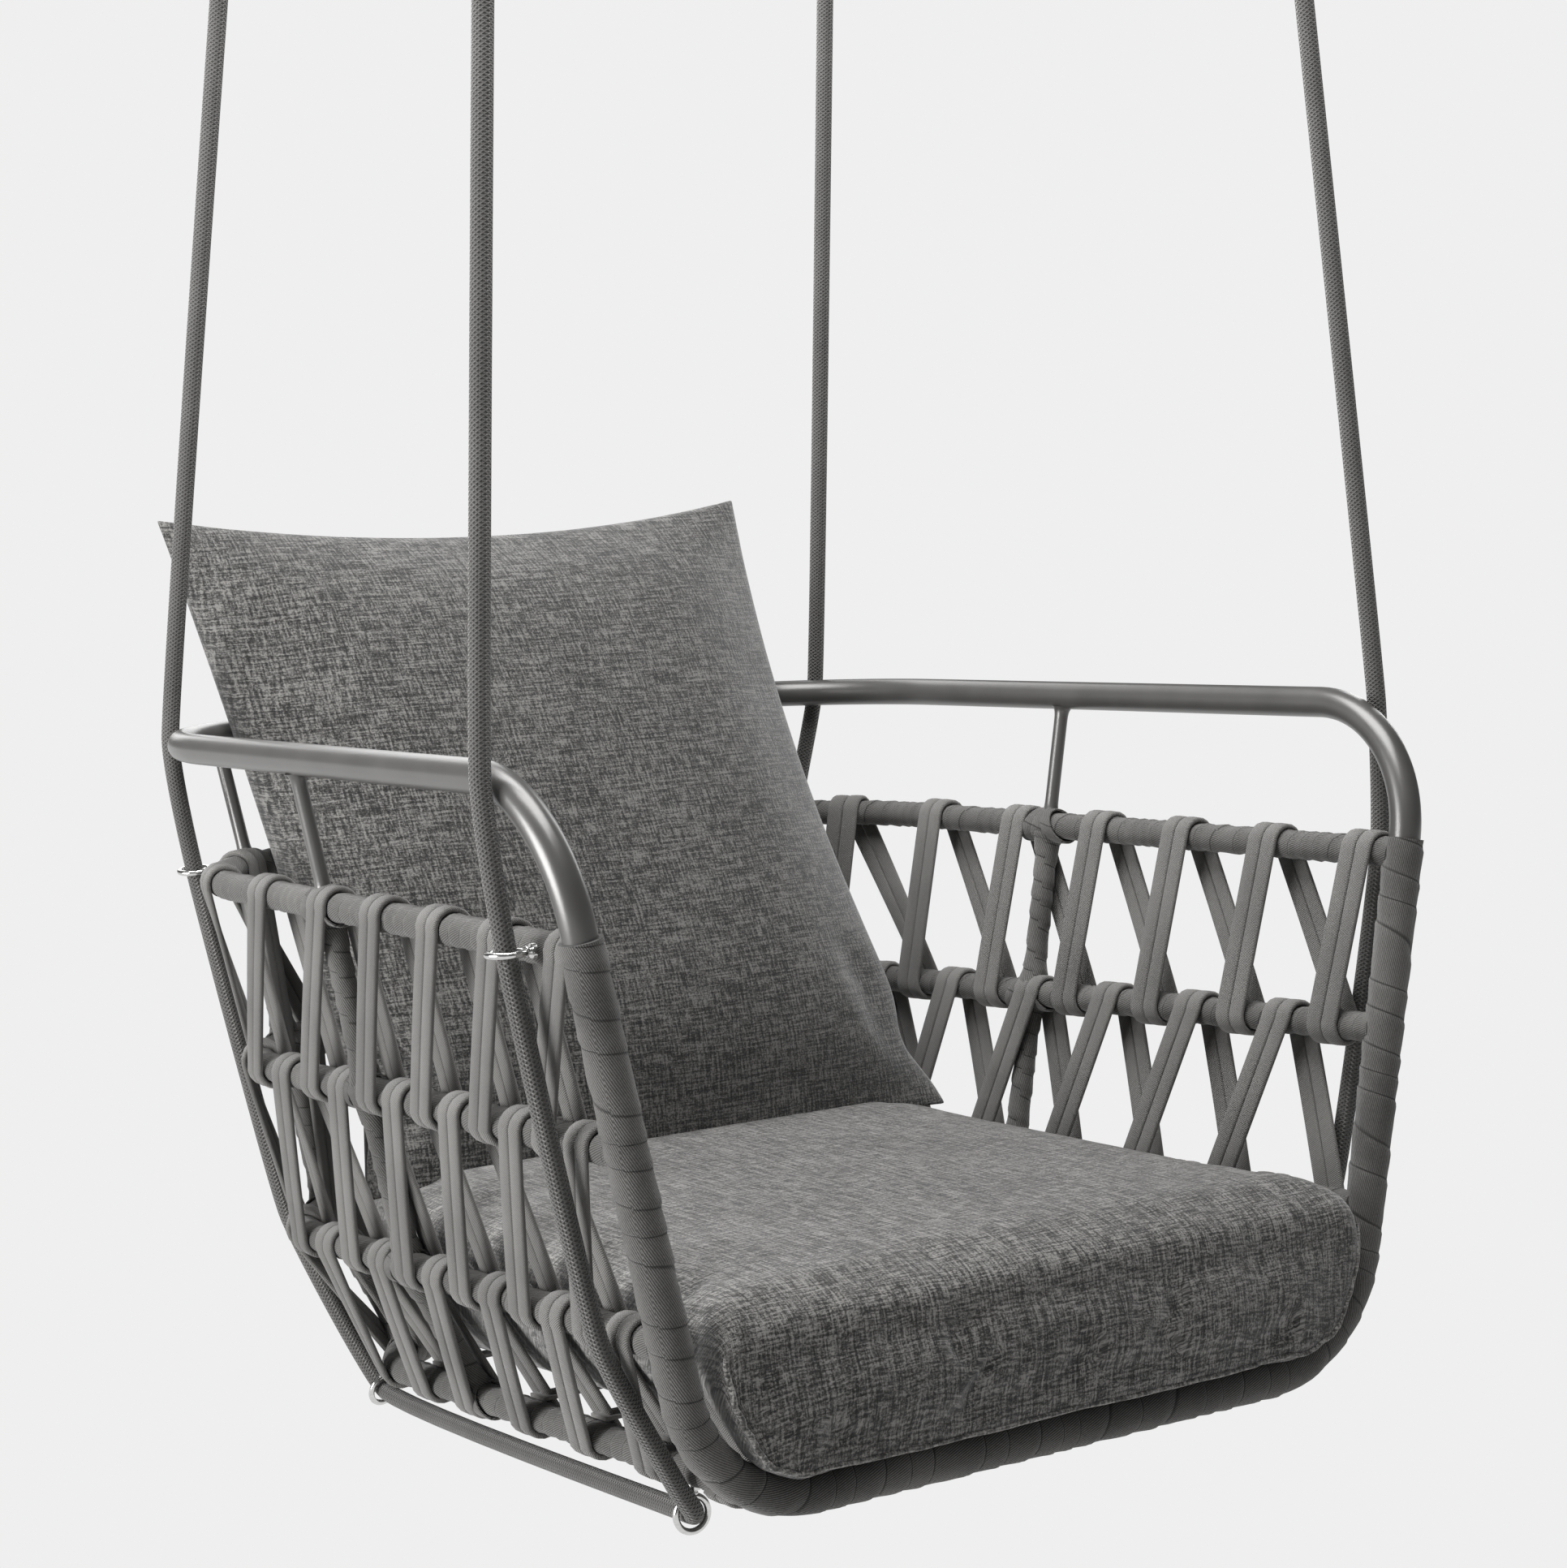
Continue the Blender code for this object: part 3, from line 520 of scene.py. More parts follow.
def braid(name, dark, light, pitch=0.034, strands=10, light_rows=3):
    """Braided rope: two sets of strands that cross, with a few rows of lighter stitches."""
    n = Nodes(name)
    u, v = n.strip()
    place = n.place()
    girth = 2 * math.pi * ROPE_RADIUS
    across = n.math("MULTIPLY", v, 2 * math.pi * strands / girth)
    along = n.math("MULTIPLY", u, 2 * math.pi * strands / pitch)
    right = n.math("SINE", n.math("ADD", across, along))
    left = n.math("SINE", n.math("SUBTRACT", across, along))
    strand = n.math("MAXIMUM", right, left)
    fuzz = n.noise(place, 1100.0, 3.0, 0.7)
    patches = n.noise(place, 16.0, 2.0)
    tone = n.math("MULTIPLY_ADD", fuzz, 0.5, n.math("MULTIPLY", patches, 0.3))
    tone = n.math("MULTIPLY_ADD", strand, 0.22, tone)
    row = n.math("COSINE", n.math("MULTIPLY", v, 2 * math.pi * light_rows / girth))
    in_row = n.math("GREATER_THAN", row, 0.86)
    in_stitch = n.math("GREATER_THAN", n.math("SINE", along), 0.3)
    tone = n.math("MULTIPLY_ADD", n.math("MULTIPLY", in_row, in_stitch), 0.30, tone)
    colour = n.ramp(tone, ((0.28, grey(dark)), (0.66, grey(light)), (1.0, grey(light * 2.6))))
    rough = n.math("MULTIPLY_ADD", fuzz, 0.2, 0.66)
    normal = n.bump(strand, 0.9, 0.0007, n.bump(fuzz, 0.2, 0.0004))
    return n.finish(colour, rough, normal, Sheen_Weight=0.2, Specular_IOR_Level=0.35)


def melange(name, dark, light):
    """Upholstery cloth of mottled yarn: uneven threads both ways, with pale slubs along the warp."""
    n = Nodes(name)
    cloth = n.node("ShaderNodeAttribute", attribute_name="cloth").outputs["Vector"]
    warp = n.noise(n.scaled(cloth, (700.0, 70.0, 0.0)), 1.0, 2.0, 0.6)
    weft = n.noise(n.scaled(cloth, (55.0, 430.0, 0.0)), 1.0, 2.0, 0.6)
    slubs = n.noise(n.scaled(cloth, (380.0, 22.0, 0.0)), 1.0, 1.0)
    grain = n.noise(cloth, 520.0, 2.0, 0.75)
    patches = n.noise(cloth, 9.0, 3.0)
    tone = n.math("MULTIPLY_ADD", warp, 0.30, n.math("MULTIPLY", weft, 0.46))
    tone = n.math("MULTIPLY_ADD", grain, 0.54, tone)
    tone = n.math("MULTIPLY_ADD", slubs, 0.28, tone)
    tone = n.math("MULTIPLY_ADD", patches, 0.08, tone)
    middle = dark + 0.30 * (light - dark)
    colour = n.ramp(tone, ((0.74, grey(dark)), (0.83, grey(middle)), (0.93, grey(light))))
    normal = n.bump(grain, 0.5, 0.0008, n.bump(n.math("ADD", warp, weft), 0.6, 0.0007))
    rough = n.math("MULTIPLY_ADD", grain, 0.15, 0.80)
    return n.finish(colour, rough, normal, Sheen_Weight=0.35, Sheen_Roughness=0.5, Specular_IOR_Level=0.2)


def powder_coat(name, level):
    """Satin powder coat with a faint orange peel."""
    n = Nodes(name)
    place = n.place()
    peel = n.noise(place, 420.0, 2.0)
    dust = n.noise(place, 26.0, 3.0)
    colour = n.ramp(dust, ((0.3, grey(level * 0.92, 0.02)), (0.7, grey(level * 1.08, 0.02))))
    rough = n.math("MULTIPLY_ADD", dust, 0.10, 0.27)
    normal = n.bump(peel, 0.12, 0.0003)
    return n.finish(colour, rough, normal, Metallic=0.4, Coat_Weight=0.25, Coat_Roughness=0.35)


def polished_steel(name):
    """Polished stainless steel with faint drawing marks."""
    n = Nodes(name)
    place = n.place()
    marks = n.noise(n.scaled(place, (300.0, 300.0, 1400.0)), 1.0, 2.0)
    colour = n.ramp(marks, ((0.3, (0.60, 0.60, 0.59)), (0.7, (0.72, 0.72, 0.71))))
    rough = n.math("MULTIPLY_ADD", marks, 0.12, 0.12)
    return n.finish(colour, rough, n.bump(marks, 0.05, 0.0001), Metallic=1.0)


STRAP = webbing("woven_strap", 0.062, 0.190)
WRAP = winding("wound_strap", 0.050, 0.130, WRAP_RADIUS)
HOOP_WRAP = winding("wound_hoop_strap", 0.050, 0.130, HOOP_WRAP_RADIUS, HOOP_WINDING_PITCH)
ROPE = braid("braided_rope", 0.030, 0.085)
FABRIC = melange("melange_fabric", 0.008, 0.200)
# The pillow's cloth is the seat's cloth painted darker: painted shade for the dimmer light on the pillow.
SHADED_PILLOW_FABRIC = melange("melange_pillow_painted_shade", 0.004, 0.125)
WELT = melange("melange_welt", 0.030, 0.260)
PAINT = powder_coat("satin_anthracite", 0.085)
STEEL = polished_steel("polished_stainless")


# ---------------------------------------------------------------- camera, light and stage


def build_camera():
    data = bpy.data.cameras.new("camera")
    data.lens = LENS
    data.sensor_width = 36.0
    camera = bpy.data.objects.new("camera", data)
    bpy.context.scene.collection.objects.link(camera)
    camera.location = CHAIR_PLACE + CAMERA_PLACE
    camera.rotation_euler = CAMERA_ANGLES
    bpy.context.scene.camera = camera


def area_light(name, place, size, power):
    data = bpy.data.lights.new(name, "AREA")
    data.shape = "RECTANGLE"
    data.size, data.size_y = size
    data.energy = power
    light = bpy.data.objects.new(name, data)
    bpy.context.scene.collection.objects.link(light)
    light.location = place
    light.rotation_euler = (LIGHT_AIM - Vector(place)).to_track_quat("-Z", "Y").to_euler()


def build_world():
    """A pale studio: the camera sees the backdrop's grey, and the pieces get a softer light from it."""
    world = bpy.data.worlds.new("studio")
    bpy.context.scene.world = world
    world.use_nodes = True
    tree = world.node_tree
    shown = tree.nodes["Background"]
    shown.inputs["Color"].default_value = (BACKDROP, BACKDROP, BACKDROP, 1.0)
    lit = tree.nodes.new("ShaderNodeBackground")
    lit.inputs["Color"].default_value = (WORLD_LIGHT, WORLD_LIGHT, WORLD_LIGHT, 1.0)
    path = tree.nodes.new("ShaderNodeLightPath")
    mix = tree.nodes.new("ShaderNodeMixShader")
    tree.links.new(path.outputs["Is Camera Ray"], mix.inputs[0])
    tree.links.new(lit.outputs[0], mix.inputs[1])
    tree.links.new(shown.outputs[0], mix.inputs[2])
    tree.links.new(mix.outputs[0], tree.nodes["World Output"].inputs[0])


def build_floor():
    """A pale floor well under the seat, as even as the backdrop."""
    mesh = bpy.data.meshes.new("floor")
    corners = ((-1, -1), (1, -1), (1, 1), (-1, 1))
    mesh.from_pydata([(FLOOR_HALF * x, FLOOR_HALF * y, FLOOR_Z) for x, y in corners], [], [(0, 1, 2, 3)])
    material = bpy.data.materials.new("pale_floor")
    material.use_nodes = True
    shader = material.node_tree.nodes["Principled BSDF"]
    shader.inputs["Base Color"].default_value = (0.0, 0.0, 0.0, 1.0)
    shader.inputs["Roughness"].default_value = 1.0
    shader.inputs["Specular IOR Level"].default_value = 0.0
    shader.inputs["Emission Color"].default_value = (BACKDROP, BACKDROP, BACKDROP, 1.0)
    shader.inputs["Emission Strength"].default_value = 1.0
    mesh.materials.append(material)
    floor = bpy.data.objects.new("floor", mesh)
    bpy.context.scene.collection.objects.link(floor)


def build_studio():
    bpy.context.scene.view_settings.view_transform = "Standard"
    build_camera()
    build_world()
    build_floor()
    for name, (place, size, power) in LIGHTS.items():
        area_light(name, place, size, power)


# ---------------------------------------------------------------- frame


def build_top_tube():
    corners = [post_point(-1, WRAP_START_Z), TOP_RAIL.side_point(-1, FRONT_Y)]
    corners += [TOP_RAIL.side_point(-1, TOP_BACK_Y), TOP_RAIL.side_point(1, TOP_BACK_Y)]
    corners += [TOP_RAIL.side_point(1, FRONT_Y), post_point(1, WRAP_START_Z)]
    radii = (ARM_BEND_RADIUS, TOP_CORNER_RADIUS, TOP_CORNER_RADIUS, ARM_BEND_RADIUS)
    tube = capped("armrest_tube", filleted(corners, radii), TOP_TUBE_RADIUS, PAINT, sides=28)
    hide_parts("top_rail")


def post_spot(rail, place, side):
    """Where a rail meets the mid post or the corner post."""
    if place == "mid":
        return rail.side_point(side, MID_POST_Y)
    return rail.corner_point(side, CORNER_POST_ANGLE)


def build_struts():
    """Bare struts under the armrests, each flared at both ends by its weld."""
    for label, side in SIDES.items():
        for place in ("mid", "corner"):
            start, end = (post_spot(rail, place, side) for rail in (TOP_RAIL, RAILS["upper"]))
            run = (end - start).normalized()
            start = start + run * (TOP_TUBE_RADIUS - 0.002)
            end = end - run * (WRAP_RADIUS - 0.002)
            length = (end - start).length

            def weld(along, angle, length=length):
                near = min(along, length - along)
                return STRUT_RADIUS + 0.0035 * math.exp(-near / 0.0028)

            points = resampled([start, end], 0.0015)
            strut = capped(f"arm_strut_{place}_{label}", points, weld, PAINT, sides=20)
            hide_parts(f"{place}_strut_{label}")


def build_wrapped_posts():
    """Posts between the rails, wound with strap, thicker where the winding crosses over onto a rail."""
    levels = list(RAILS)
    for label, side in SIDES.items():
        for place in ("mid", "corner"):
            for upper, lower in zip(levels, levels[1:]):
                start, end = (post_spot(RAILS[level], place, side) for level in (upper, lower))
                length = (end - start).length
                winding_radius = wound(POST_WRAP_RADIUS)

                def reach(along, angle, length=length, winding_radius=winding_radius):
                    near = min(along, length - along)
                    return winding_radius(along, angle) + 0.0050 * math.exp(-((near / 0.019) ** 2))

                points = resampled([start, end], 0.0022)
                post = capped(f"wound_post_{place}_{upper}_{label}", points, reach, WRAP, sides=20)
                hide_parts(f"{place}_post_{upper}_{label}")


def build_junctions():
    """Where a post meets a rail, turns of strap cross over the rail, each at an offset and with a slant."""
    surface = Surface()
    for rail in RAILS.values():
        for side in SIDES.values():
            for place in ("mid", "corner"):
                middle = rail.length_to(post_spot(rail, place, side))
                for offset, slant in JUNCTION_TURNS:
                    point, ahead, out = rail.at_length(middle + offset)
                    above = ahead.cross(out)
                    rings = []
                    for k in range(36):
                        angle = 2 * math.pi * k / 36
                        away = out * math.cos(angle) + above * math.sin(angle)
                        centre = point + ahead * slant * 0.010 * math.sin(angle)
                        rings.append(band_section(centre, away, ahead, WRAP_RADIUS + 0.0007, 0.0024, 0.015))
                    surface.loop(rings)
    surface.piece("junction_windings", WRAP)


def build_wrapped_rails():
    for name, rail in RAILS.items():
        points = resampled(rail.points, 0.0024)
        wrap = capped(f"wound_rail_{name}", points, wound(WRAP_RADIUS), WRAP, sides=22)
        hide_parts(f"{name}_rail_wrap", f"{name}_rail")
    corners = [post_point(-1, WRAP_START_Z), post_point(-1, HOOP_BOTTOM_Z)]
    corners += [post_point(1, HOOP_BOTTOM_Z), post_point(1, WRAP_START_Z)]
    points = resampled(filleted(corners, (HOOP_CORNER_RADIUS, HOOP_CORNER_RADIUS)), 0.0024)
    radius = wound(HOOP_WRAP_RADIUS, HOOP_WINDING_PITCH)
    hoop = capped("wound_front_hoop", points, radius, HOOP_WRAP, sides=26)
    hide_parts("front_hoop_wrap", "front_hoop")


# ---------------------------------------------------------------- weave


def band_section(centre, away, ahead, near, thickness, width):
    """A flat oval section of a strap that lies at a distance from a tube's centre."""
    profile = [(-0.5, 0.25), (-0.42, 0.02), (0.42, 0.02), (0.5, 0.25), (0.5, 0.72)]
    profile += [(0.40, 0.98), (0.0, 1.04), (-0.40, 0.98), (-0.5, 0.72)]
    return [centre + away * (near + thickness * y) + ahead * width * x for x, y in profile]


def strap_section(rail, cycle, angle, shift):
    """A strap's section where it passes a rail, angle 0 outside, 90 on top, 180 inside."""
    point, ahead, out = rail.at_cycle(cycle)
    above = out.cross(ahead)
    if above.z < 0:
        above = -above
    turn = math.radians(angle)
    away = out * math.cos(turn) + above * math.sin(turn)
    return band_section(point + ahead * shift, away, ahead, WRAP_RADIUS - 0.0002, BAND_THICKNESS, BAND_WIDTH)


def between_sections(first, second, count, sag):
    """Sections of the free stretch between two rails, bowed out a very little."""
    away = ((first[6] - first[1]) + (second[6] - second[1])).normalized()
    made = []
    for step in range(1, count):
        t = step / count
        lift = sag * math.sin(math.pi * t)
        made.append([a.lerp(b, t) + away * lift for a, b in zip(first, second)])
    return made


def build_weave():
    """Each row is a pair of narrow straps, wound round two rails from one front post to the other."""
    right_mid = 2 * CYCLES_TO_CORNER + CYCLES_ACROSS_BACK
    first = CYCLES_FROM_END - CYCLES_FRONT_LEFT
    last = right_mid + CYCLES_FRONT_RIGHT - CYCLES_FROM_END
    for name, (top_rail, bottom_rail, over, under, lean) in WEAVE_ROWS.items():
        surface = Surface()
        for shift in (-BAND_SPACING / 2, BAND_SPACING / 2):
            rings = []
            for cycle in range(-6, 18):
                for rail, place, turned in ((top_rail, cycle + over, 180), (bottom_rail, cycle + under, 0)):
                    if not first <= place <= last:
                        continue
                    angles = [turned - step * TURNING_STEP - lean for step in range(TURNING_SECTIONS)]
                    turnings = [strap_section(RAILS[rail], place, angle, shift) for angle in angles]
                    if rings:
                        rings += between_sections(rings[-1], turnings[0], 5, 0.0006)
                    rings += turnings
            surface.add(rings)
        piece = surface.piece(f"strap_pair_{name}", STRAP, sharp=60)
        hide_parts(f"weave_{name}_row")


# ---------------------------------------------------------------- cushions


def mesh_piece(name, points, faces, finish):
    mesh = bpy.data.meshes.new(name)
    mesh.from_pydata([tuple(point) for point in points], [], faces)
    mesh.materials.append(finish)
    made = bpy.data.objects.new(name, mesh)
    bpy.context.scene.collection.objects.link(made)
    return made


def apply_modifiers(piece):
    graph = bpy.context.evaluated_depsgraph_get()
    solid = bpy.data.meshes.new_from_object(piece.evaluated_get(graph))
    piece.modifiers.clear()
    old = piece.data
    piece.data = solid
    bpy.data.meshes.remove(old)


def coordinates(piece):
    found = np.empty(len(piece.data.vertices) * 3)
    piece.data.vertices.foreach_get("co", found)
    return found.reshape(-1, 3)


def inflate(piece, pressure, cap, stiffness=12.0, free=1.0):
    """Lets a short cloth simulation swell the piece, then holds each point within cap of where it was.

    Free is the share of its movement that a point keeps: 1, or a number for each point.
    """
    rest = coordinates(piece)
    cloth = piece.modifiers.new("cloth", "CLOTH")
    settings = cloth.settings
    settings.quality = 5
    settings.mass = 0.3
    settings.use_pressure = True
    settings.uniform_pressure_force = pressure
    settings.tension_stiffness = stiffness
    settings.compression_stiffness = stiffness
    settings.bending_stiffness = 0.6
    settings.effector_weights.gravity = 0.0
    cloth.collision_settings.use_collision = False
    cloth.point_cache.frame_start = 1
    cloth.point_cache.frame_end = CLOTH_FRAMES
    scene = bpy.context.scene
    for number in range(1, CLOTH_FRAMES + 1):
        scene.frame_set(number)
    apply_modifiers(piece)
    scene.frame_set(1)
    moved = coordinates(piece) - rest
    far = np.linalg.norm(moved, axis=1)
    scale = np.minimum(1.0, cap / np.maximum(far, 1e-9)) * free
    piece.data.vertices.foreach_set("co", (rest + moved * scale[:, None]).ravel())
    piece.data.update()


def smooth_once(piece):
    round_off = piece.modifiers.new("subdivide", "SUBSURF")
    round_off.levels = round_off.render_levels = 1
    apply_modifiers(piece)
    piece.data.shade_smooth()


def write_cloth_map(piece, across, along):
    """Stores where each point lies on the cloth, in metres, for the weave of the fabric."""
    attribute = piece.data.attributes.new("cloth", "FLOAT_VECTOR", "POINT")
    flat = np.stack([across, along, np.zeros(len(across))], axis=1)
    attribute.data.foreach_set("vector", flat.ravel())


def seat_outline(y, narrow, rise, drop, fill=0.0):
    """The seat cushion's outline across the chair: firm top edges and wide rounded lower corners.

    Fill widens the lower corners, where the cushion lies in the front hoop and not between the straps.
    """
    rail = RAILS["bottom"]
    bottom = rail.height_at(max(y, FRONT_Y)) + 0.020 + drop
    top = SEAT_TOP_Z - rise
    half = [(0.06, top + 0.002), (0.14, top + 0.001), (0.22, top), (0.276, top - 0.001), (0.290, top - 0.007)]
    half += [(0.294, top - 0.018), (0.292 + 0.003 * fill, -0.402), (0.284 + 0.009 * fill, -0.424)]
    half += [(0.268 + 0.017 * fill, -0.447), (0.244 + 0.025 * fill, bottom + 0.014)]
    half += [(0.216 + 0.023 * fill, bottom + 0.002), (0.14, bottom), (0.06, bottom)]
    right = [Vector((x - narrow, y, z)) for x, z in half]
    left = [Vector((-point.x, point.y, point.z)) for point in reversed(right)]
    return right + left


def build_seat():
    """The seat cushion, from outlines at stations from its front to its back, swollen and lightly creased."""
    stations = [(-0.382, 0.003, 0.024, -0.010, 1), (-0.377, 0.001, 0.011, -0.015, 1)]
    stations += [(-0.364, 0.0, 0.003, -0.014, 1), (-0.345, 0.0, 0.0, -0.011, 0.9)]
    stations += [(-0.30, 0.002, 0.0, -0.006)]
    stations += [(y, SIDE_SPLAY * (y - FRONT_Y), 0.0, 0.0) for y in (-0.22, -0.14, -0.06, 0.02, 0.10, 0.16)]
    stations += [(0.22, 0.024, 0.001, 0.0), (0.27, 0.042, 0.003, 0.0), (0.300, 0.062, 0.008, 0.004)]
    stations += [(0.318, 0.088, 0.020, 0.012)]
    rings = [seat_outline(*station) for station in stations]
    size = len(rings[0])
    points = [point for ring in rings for point in ring]
    faces = []
    for i in range(len(rings) - 1):
        for k in range(size):
            n = (k + 1) % size
            faces.append((i * size + k, i * size + n, (i + 1) * size + n, (i + 1) * size + k))
    faces.append(tuple(range(size)))
    faces.append(tuple(reversed(range((len(rings) - 1) * size, len(rings) * size))))
    seat = mesh_piece("seat_pad", points, faces, FABRIC)
    remesh = seat.modifiers.new("remesh", "REMESH")
    remesh.mode = "VOXEL"
    remesh.voxel_size = SEAT_VOXEL
    apply_modifiers(seat)
    inflate(seat, 4.0, 0.007)
    smooth_once(seat)
    found = coordinates(seat)
    normals = np.empty(len(found) * 3)
    seat.data.vertices.foreach_get("normal", normals)
    normals = normals.reshape(-1, 3)
    creases = [noise.noise(Vector((x * 26, y * 4, z * 7))) for x, y, z in found]
    found += normals * (np.array(creases) * 0.0030 * np.clip(-normals[:, 1], 0.15, 1))[:, None]
    seat.data.vertices.foreach_set("co", found.ravel())
    sideways = normals[:, 0] ** 2
    across = found[:, 0] + np.sign(found[:, 0]) * (SEAT_TOP_Z - found[:, 2]) * sideways
    write_cloth_map(seat, across, found[:, 1] + found[:, 2])
    seat.data.transform(CHAIR)
    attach(seat, "chair")
    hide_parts("seat_cushion")
    return seat


def build_seat_welt(seat):
    """A welt sewn on the seat along its lower front edge and up its rounded corners."""
    half = ((0.297, -0.376, -0.396), (0.296, -0.380, -0.424), (0.287, -0.383, -0.449))
    half += ((0.268, -0.385, -0.478), (0.236, -0.386, -0.497))
    corners = [Vector((-x, y, z)) for x, y, z in half] + [Vector(point) for point in reversed(half)]
    skin = BVHTree.FromPolygons(
        [vertex.co.copy() for vertex in seat.data.vertices],
        [tuple(face.vertices) for face in seat.data.polygons],
    )
    route = []
    for point in resampled(bezier_route(corners, through(corners), handle=0.03), 0.004):
        on_skin, normal, _, _ = skin.find_nearest(CHAIR @ point)
        route.append(on_skin + normal * 0.0006)
    surface = Surface()
    surface.add(tube_rings(route, 0.0021, 10), place=Matrix.Identity(4))
    welt = surface.piece("seat_welt", WELT)
    found = coordinates(welt)
    write_cloth_map(welt, found[:, 0], found[:, 2])


def pillow_point(u, v, bulge):
    """A point of the pillow: u across, v up, bulge towards the front or, below zero, the back."""
    down = PILLOW_BOTTOM - PILLOW_TOP
    down.x = 0
    away = Vector((0, down.z, -down.y)).normalized()
    along = PILLOW_TOP.lerp(PILLOW_BOTTOM, (1 - v) / 2)
    pull = 0.022 * (1 - v * v)
    middle = Vector((u * (along.x - pull), along.y, along.z))
    middle -= away * 0.024 * (1 - v * v)
    middle.z -= 0.034 * (1 - u * u) * max(v, 0) ** 3
    middle.z -= 0.012 * abs(u) ** 3 * max(-v, 0) ** 6
    middle.x *= 1 - 0.055 * abs(u) ** 5 * math.exp(-(((v + 0.80) / 0.10) ** 2))
    low = max(-v, 0.0) ** 3
    towards = (away * (1 - low) + Vector((0, -0.55, -0.60)) * low).normalized() if bulge > 0 else away
    swell = max((1 - u * u) * (1 - v * v), 0.0) ** 0.47
    fold = 0.010 * math.exp(-(((u + 0.42) / 0.06) ** 2) - ((v + 0.72) / 0.20) ** 2)
    fold += 0.006 * math.exp(-(((u - 0.80) / 0.07) ** 2) - ((v + 0.62 + 0.5 * (u - 0.8)) / 0.12) ** 2)
    return middle + towards * (bulge * swell - (fold if bulge > 0 else 0.0))


def build_pillow():
    """The back pillow: a front and a back sheet that share their rim, swollen away from it."""
    steps = PILLOW_STEPS
    points, faces, free = [], [], []
    edge = {}

    def vertex(side, j, i):
        rim = i in (0, steps) or j in (0, steps)
        key = (0 if rim else side, j, i)
        if key not in edge:
            u, v = 2 * i / steps - 1, 1 - 2 * j / steps
            bulge = 0.0 if rim else (PILLOW_FRONT_BULGE if side == 1 else -PILLOW_BACK_BULGE)
            edge[key] = len(points)
            points.append(pillow_point(u, v, bulge))
            inside = min(1.0, (1 - max(abs(u), abs(v))) / 0.45)
            free.append(inside * inside * (3 - 2 * inside))
        return edge[key]

    for side in (1, 2):
        for j in range(steps):
            for i in range(steps):
                around = ((j, i), (j, i + 1), (j + 1, i + 1), (j + 1, i))
                corners = tuple(vertex(side, *place) for place in around)
                faces.append(corners if side == 2 else tuple(reversed(corners)))
    pillow = mesh_piece("back_cushion", points, faces, SHADED_PILLOW_FABRIC)
    across = np.array([point.x for point in points])
    upward = np.array([point.z for point in points]) * 1.2
    write_cloth_map(pillow, upward, across)
    inflate(pillow, 3.0, 0.012, stiffness=14.0, free=np.array(free))
    smooth_once(pillow)
    pillow.data.transform(CHAIR)
    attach(pillow, "chair")
    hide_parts("back_pillow")


# ---------------------------------------------------------------- ropes and rings


def sling_stops(side):
    """Where a side's rope goes on the chair: armrest, rings, under the seat and up to the armrest again."""
    clear = 0.0079
    front_arm = TOP_RAIL.side_point(side, -0.287)
    front_arm.x += side * (TOP_TUBE_RADIUS + clear)
    upper_front = RAILS["upper"].side_point(side, UPPER_FRONT_RING_Y)
    upper_front.x += side * 0.0335
    rest_front = RAILS["lower"].side_point(side, -0.290)
    rest_front.x += side * 0.0287
    low_rest = RAILS["bottom"].side_point(side, -0.278) + Vector((side * 0.0225, 0, -0.006))
    low_front = RAILS["bottom"].side_point(side, LOWER_FRONT_RING_Y) + Vector((side * 0.004, 0, -0.032))
    low_rear = RAILS["bottom"].corner_point(side, LOWER_REAR_RING_ANGLE, 0.013) + UP * -0.027
    rest_rear = RAILS["lower"].corner_point(side, UPPER_REAR_RING_ANGLE, 0.0280)
    upper_rear = RAILS["upper"].corner_point(side, UPPER_REAR_RING_ANGLE, 0.040)
    rear_arm = TOP_RAIL.corner_point(side, math.radians(39), TOP_TUBE_RADIUS + clear)
    front = [front_arm, upper_front, rest_front, low_rest, low_front]
    return [*front, low_rear, rest_rear, upper_rear, rear_arm]


def sling_ways(side):
    """The rope's direction at each of its stops; it leaves the lower front ring straight for the rear one."""
    stops = sling_stops(side)
    ways = through(stops)
    ways[4] = (stops[5] - stops[4]).normalized()
    return ways


def rope_piece(name, route):
    surface = Surface()
    surface.add(tube_rings(route, ROPE_RADIUS, 18), place=Matrix.Identity(4))
    return surface.piece(name, ROPE, body=None)


def build_ropes():
    """A sling between the upper rings on each side, and a front and a rear rope from them to the ceiling."""
    for label, side in SIDES.items():
        stops = [CHAIR @ stop for stop in sling_stops(side)]
        turn = CHAIR.to_3x3()
        ways = [turn @ way for way in sling_ways(side)]
        sling = resampled(bezier_route(stops[1:8], ways[1:8]), ROPE_POINT_SPACING)
        piece = rope_piece(f"sling_{label}", sling)
        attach(piece, "chair")
        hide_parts(f"rope_sling_{label}")
        for place, contact, ring, lean in (
            ("front", 0, 1, FRONT_ROPE_LEAN),
            ("rear", 8, 7, REAR_ROPE_LEAN),
        ):
            low = stops[contact]
            run = Vector((-side * lean[0], lean[1], 1.0)).normalized()
            rise = (TERMINAL_TOP_Z - low.z) / run.z
            top = low + run * (rise - TERMINAL_LENGTH - 0.0003)
            up_ring = ways[ring] * (-1 if place == "front" else 1)
            bend = (run + (low - stops[ring]).normalized()).normalized()
            start = stops[ring] - up_ring * 0.004
            route = bezier_route([start, low, top], [up_ring, bend, run], handle=0.03, steps=40)
            route = resampled(route, ROPE_POINT_SPACING)
            rope = rope_piece(f"rope_{place}_{label}", route)
            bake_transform(rope)
            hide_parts(f"rope_span_{place}_{label}")


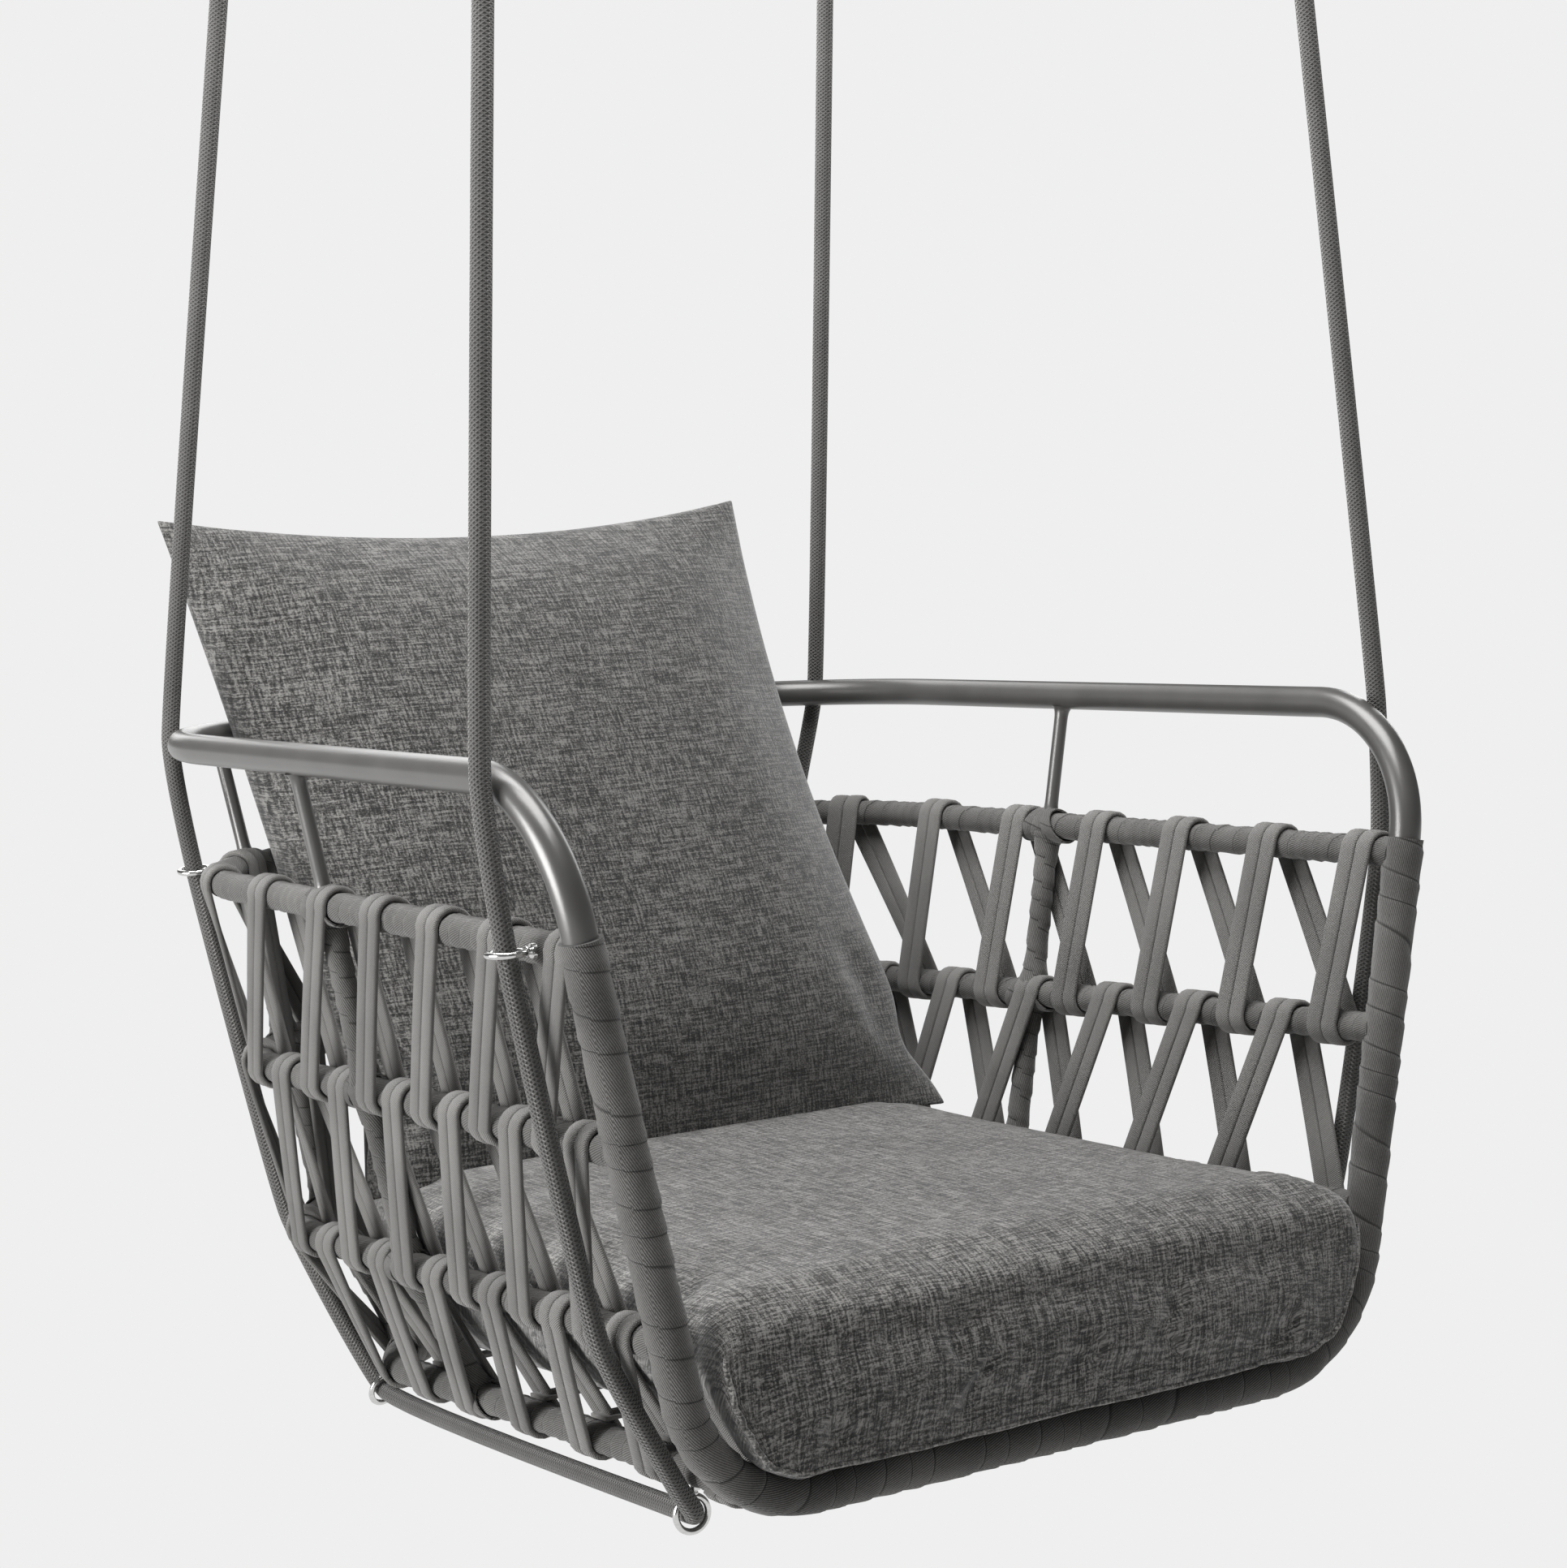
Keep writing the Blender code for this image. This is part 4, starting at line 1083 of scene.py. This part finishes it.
def torus_rings(centre, axis, radius, wire, around=56, sides=14):
    axis = axis.normalized()
    first = axis.orthogonal().normalized()
    second = axis.cross(first)
    rings = []
    for i in range(around):
        angle = 2 * math.pi * i / around
        out = first * math.cos(angle) + second * math.sin(angle)
        ring = []
        for k in range(sides):
            turn = 2 * math.pi * k / sides
            ring.append(centre + out * (radius + wire * math.cos(turn)) + axis * wire * math.sin(turn))
        rings.append(ring)
    return rings


def build_ring_bolts():
    """Polished rings on threaded shanks, each with a collar and a nut against the rail."""
    for label, side in SIDES.items():
        stops, ways = sling_stops(side), sling_ways(side)
        feet = {
            "upper_front": (1, RAILS["upper"].side_point(side, UPPER_FRONT_RING_Y)),
            "lower_front": (4, RAILS["bottom"].side_point(side, LOWER_FRONT_RING_Y)),
            "lower_rear": (5, RAILS["bottom"].corner_point(side, LOWER_REAR_RING_ANGLE)),
            "upper_rear": (7, RAILS["upper"].corner_point(side, UPPER_REAR_RING_ANGLE)),
        }
        for place, (stop, foot) in feet.items():
            centre = stops[stop]
            run = (foot - centre).normalized()
            axis = ways[stop] - run * ways[stop].dot(run)
            surface = Surface()
            surface.loop(torus_rings(centre, axis, RING_RADIUS, RING_WIRE))
            start = centre + run * (RING_RADIUS + 0.001)
            end = foot - run * (WRAP_RADIUS - 0.002)
            length = (end - start).length

            def shank(along, angle, length=length):
                if along < 0.0028:
                    return 0.0038 - 0.0040 * (along / 0.0028 - 0.5) ** 2
                if along > length - 0.0040:
                    return 0.0052
                return 0.0026 + 0.0003 * math.sin(2 * math.pi * along / 0.0010 + angle)

            surface.add(tube_rings(resampled([start, end], 0.0003), shank, 16))
            piece = surface.piece(f"ring_bolt_{place}_{label}", STEEL)
            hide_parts(f"eye_bolt_{place}_{label}")


def finish_fittings():
    """The hangers, the rope ends and the deck straps keep their CAD shapes."""
    finishes = {"ceiling_hanger": STEEL, "rope_terminal": STEEL, "deck_strap": STRAP}
    for name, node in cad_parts.items():
        for start, finish in finishes.items():
            if name.startswith(start):
                node.data.materials.clear()
                node.data.materials.append(finish)


build_studio()
build_top_tube()
build_struts()
build_wrapped_posts()
build_wrapped_rails()
build_junctions()
build_weave()
build_seat_welt(build_seat())
build_pillow()
build_ropes()
build_ring_bolts()
finish_fittings()
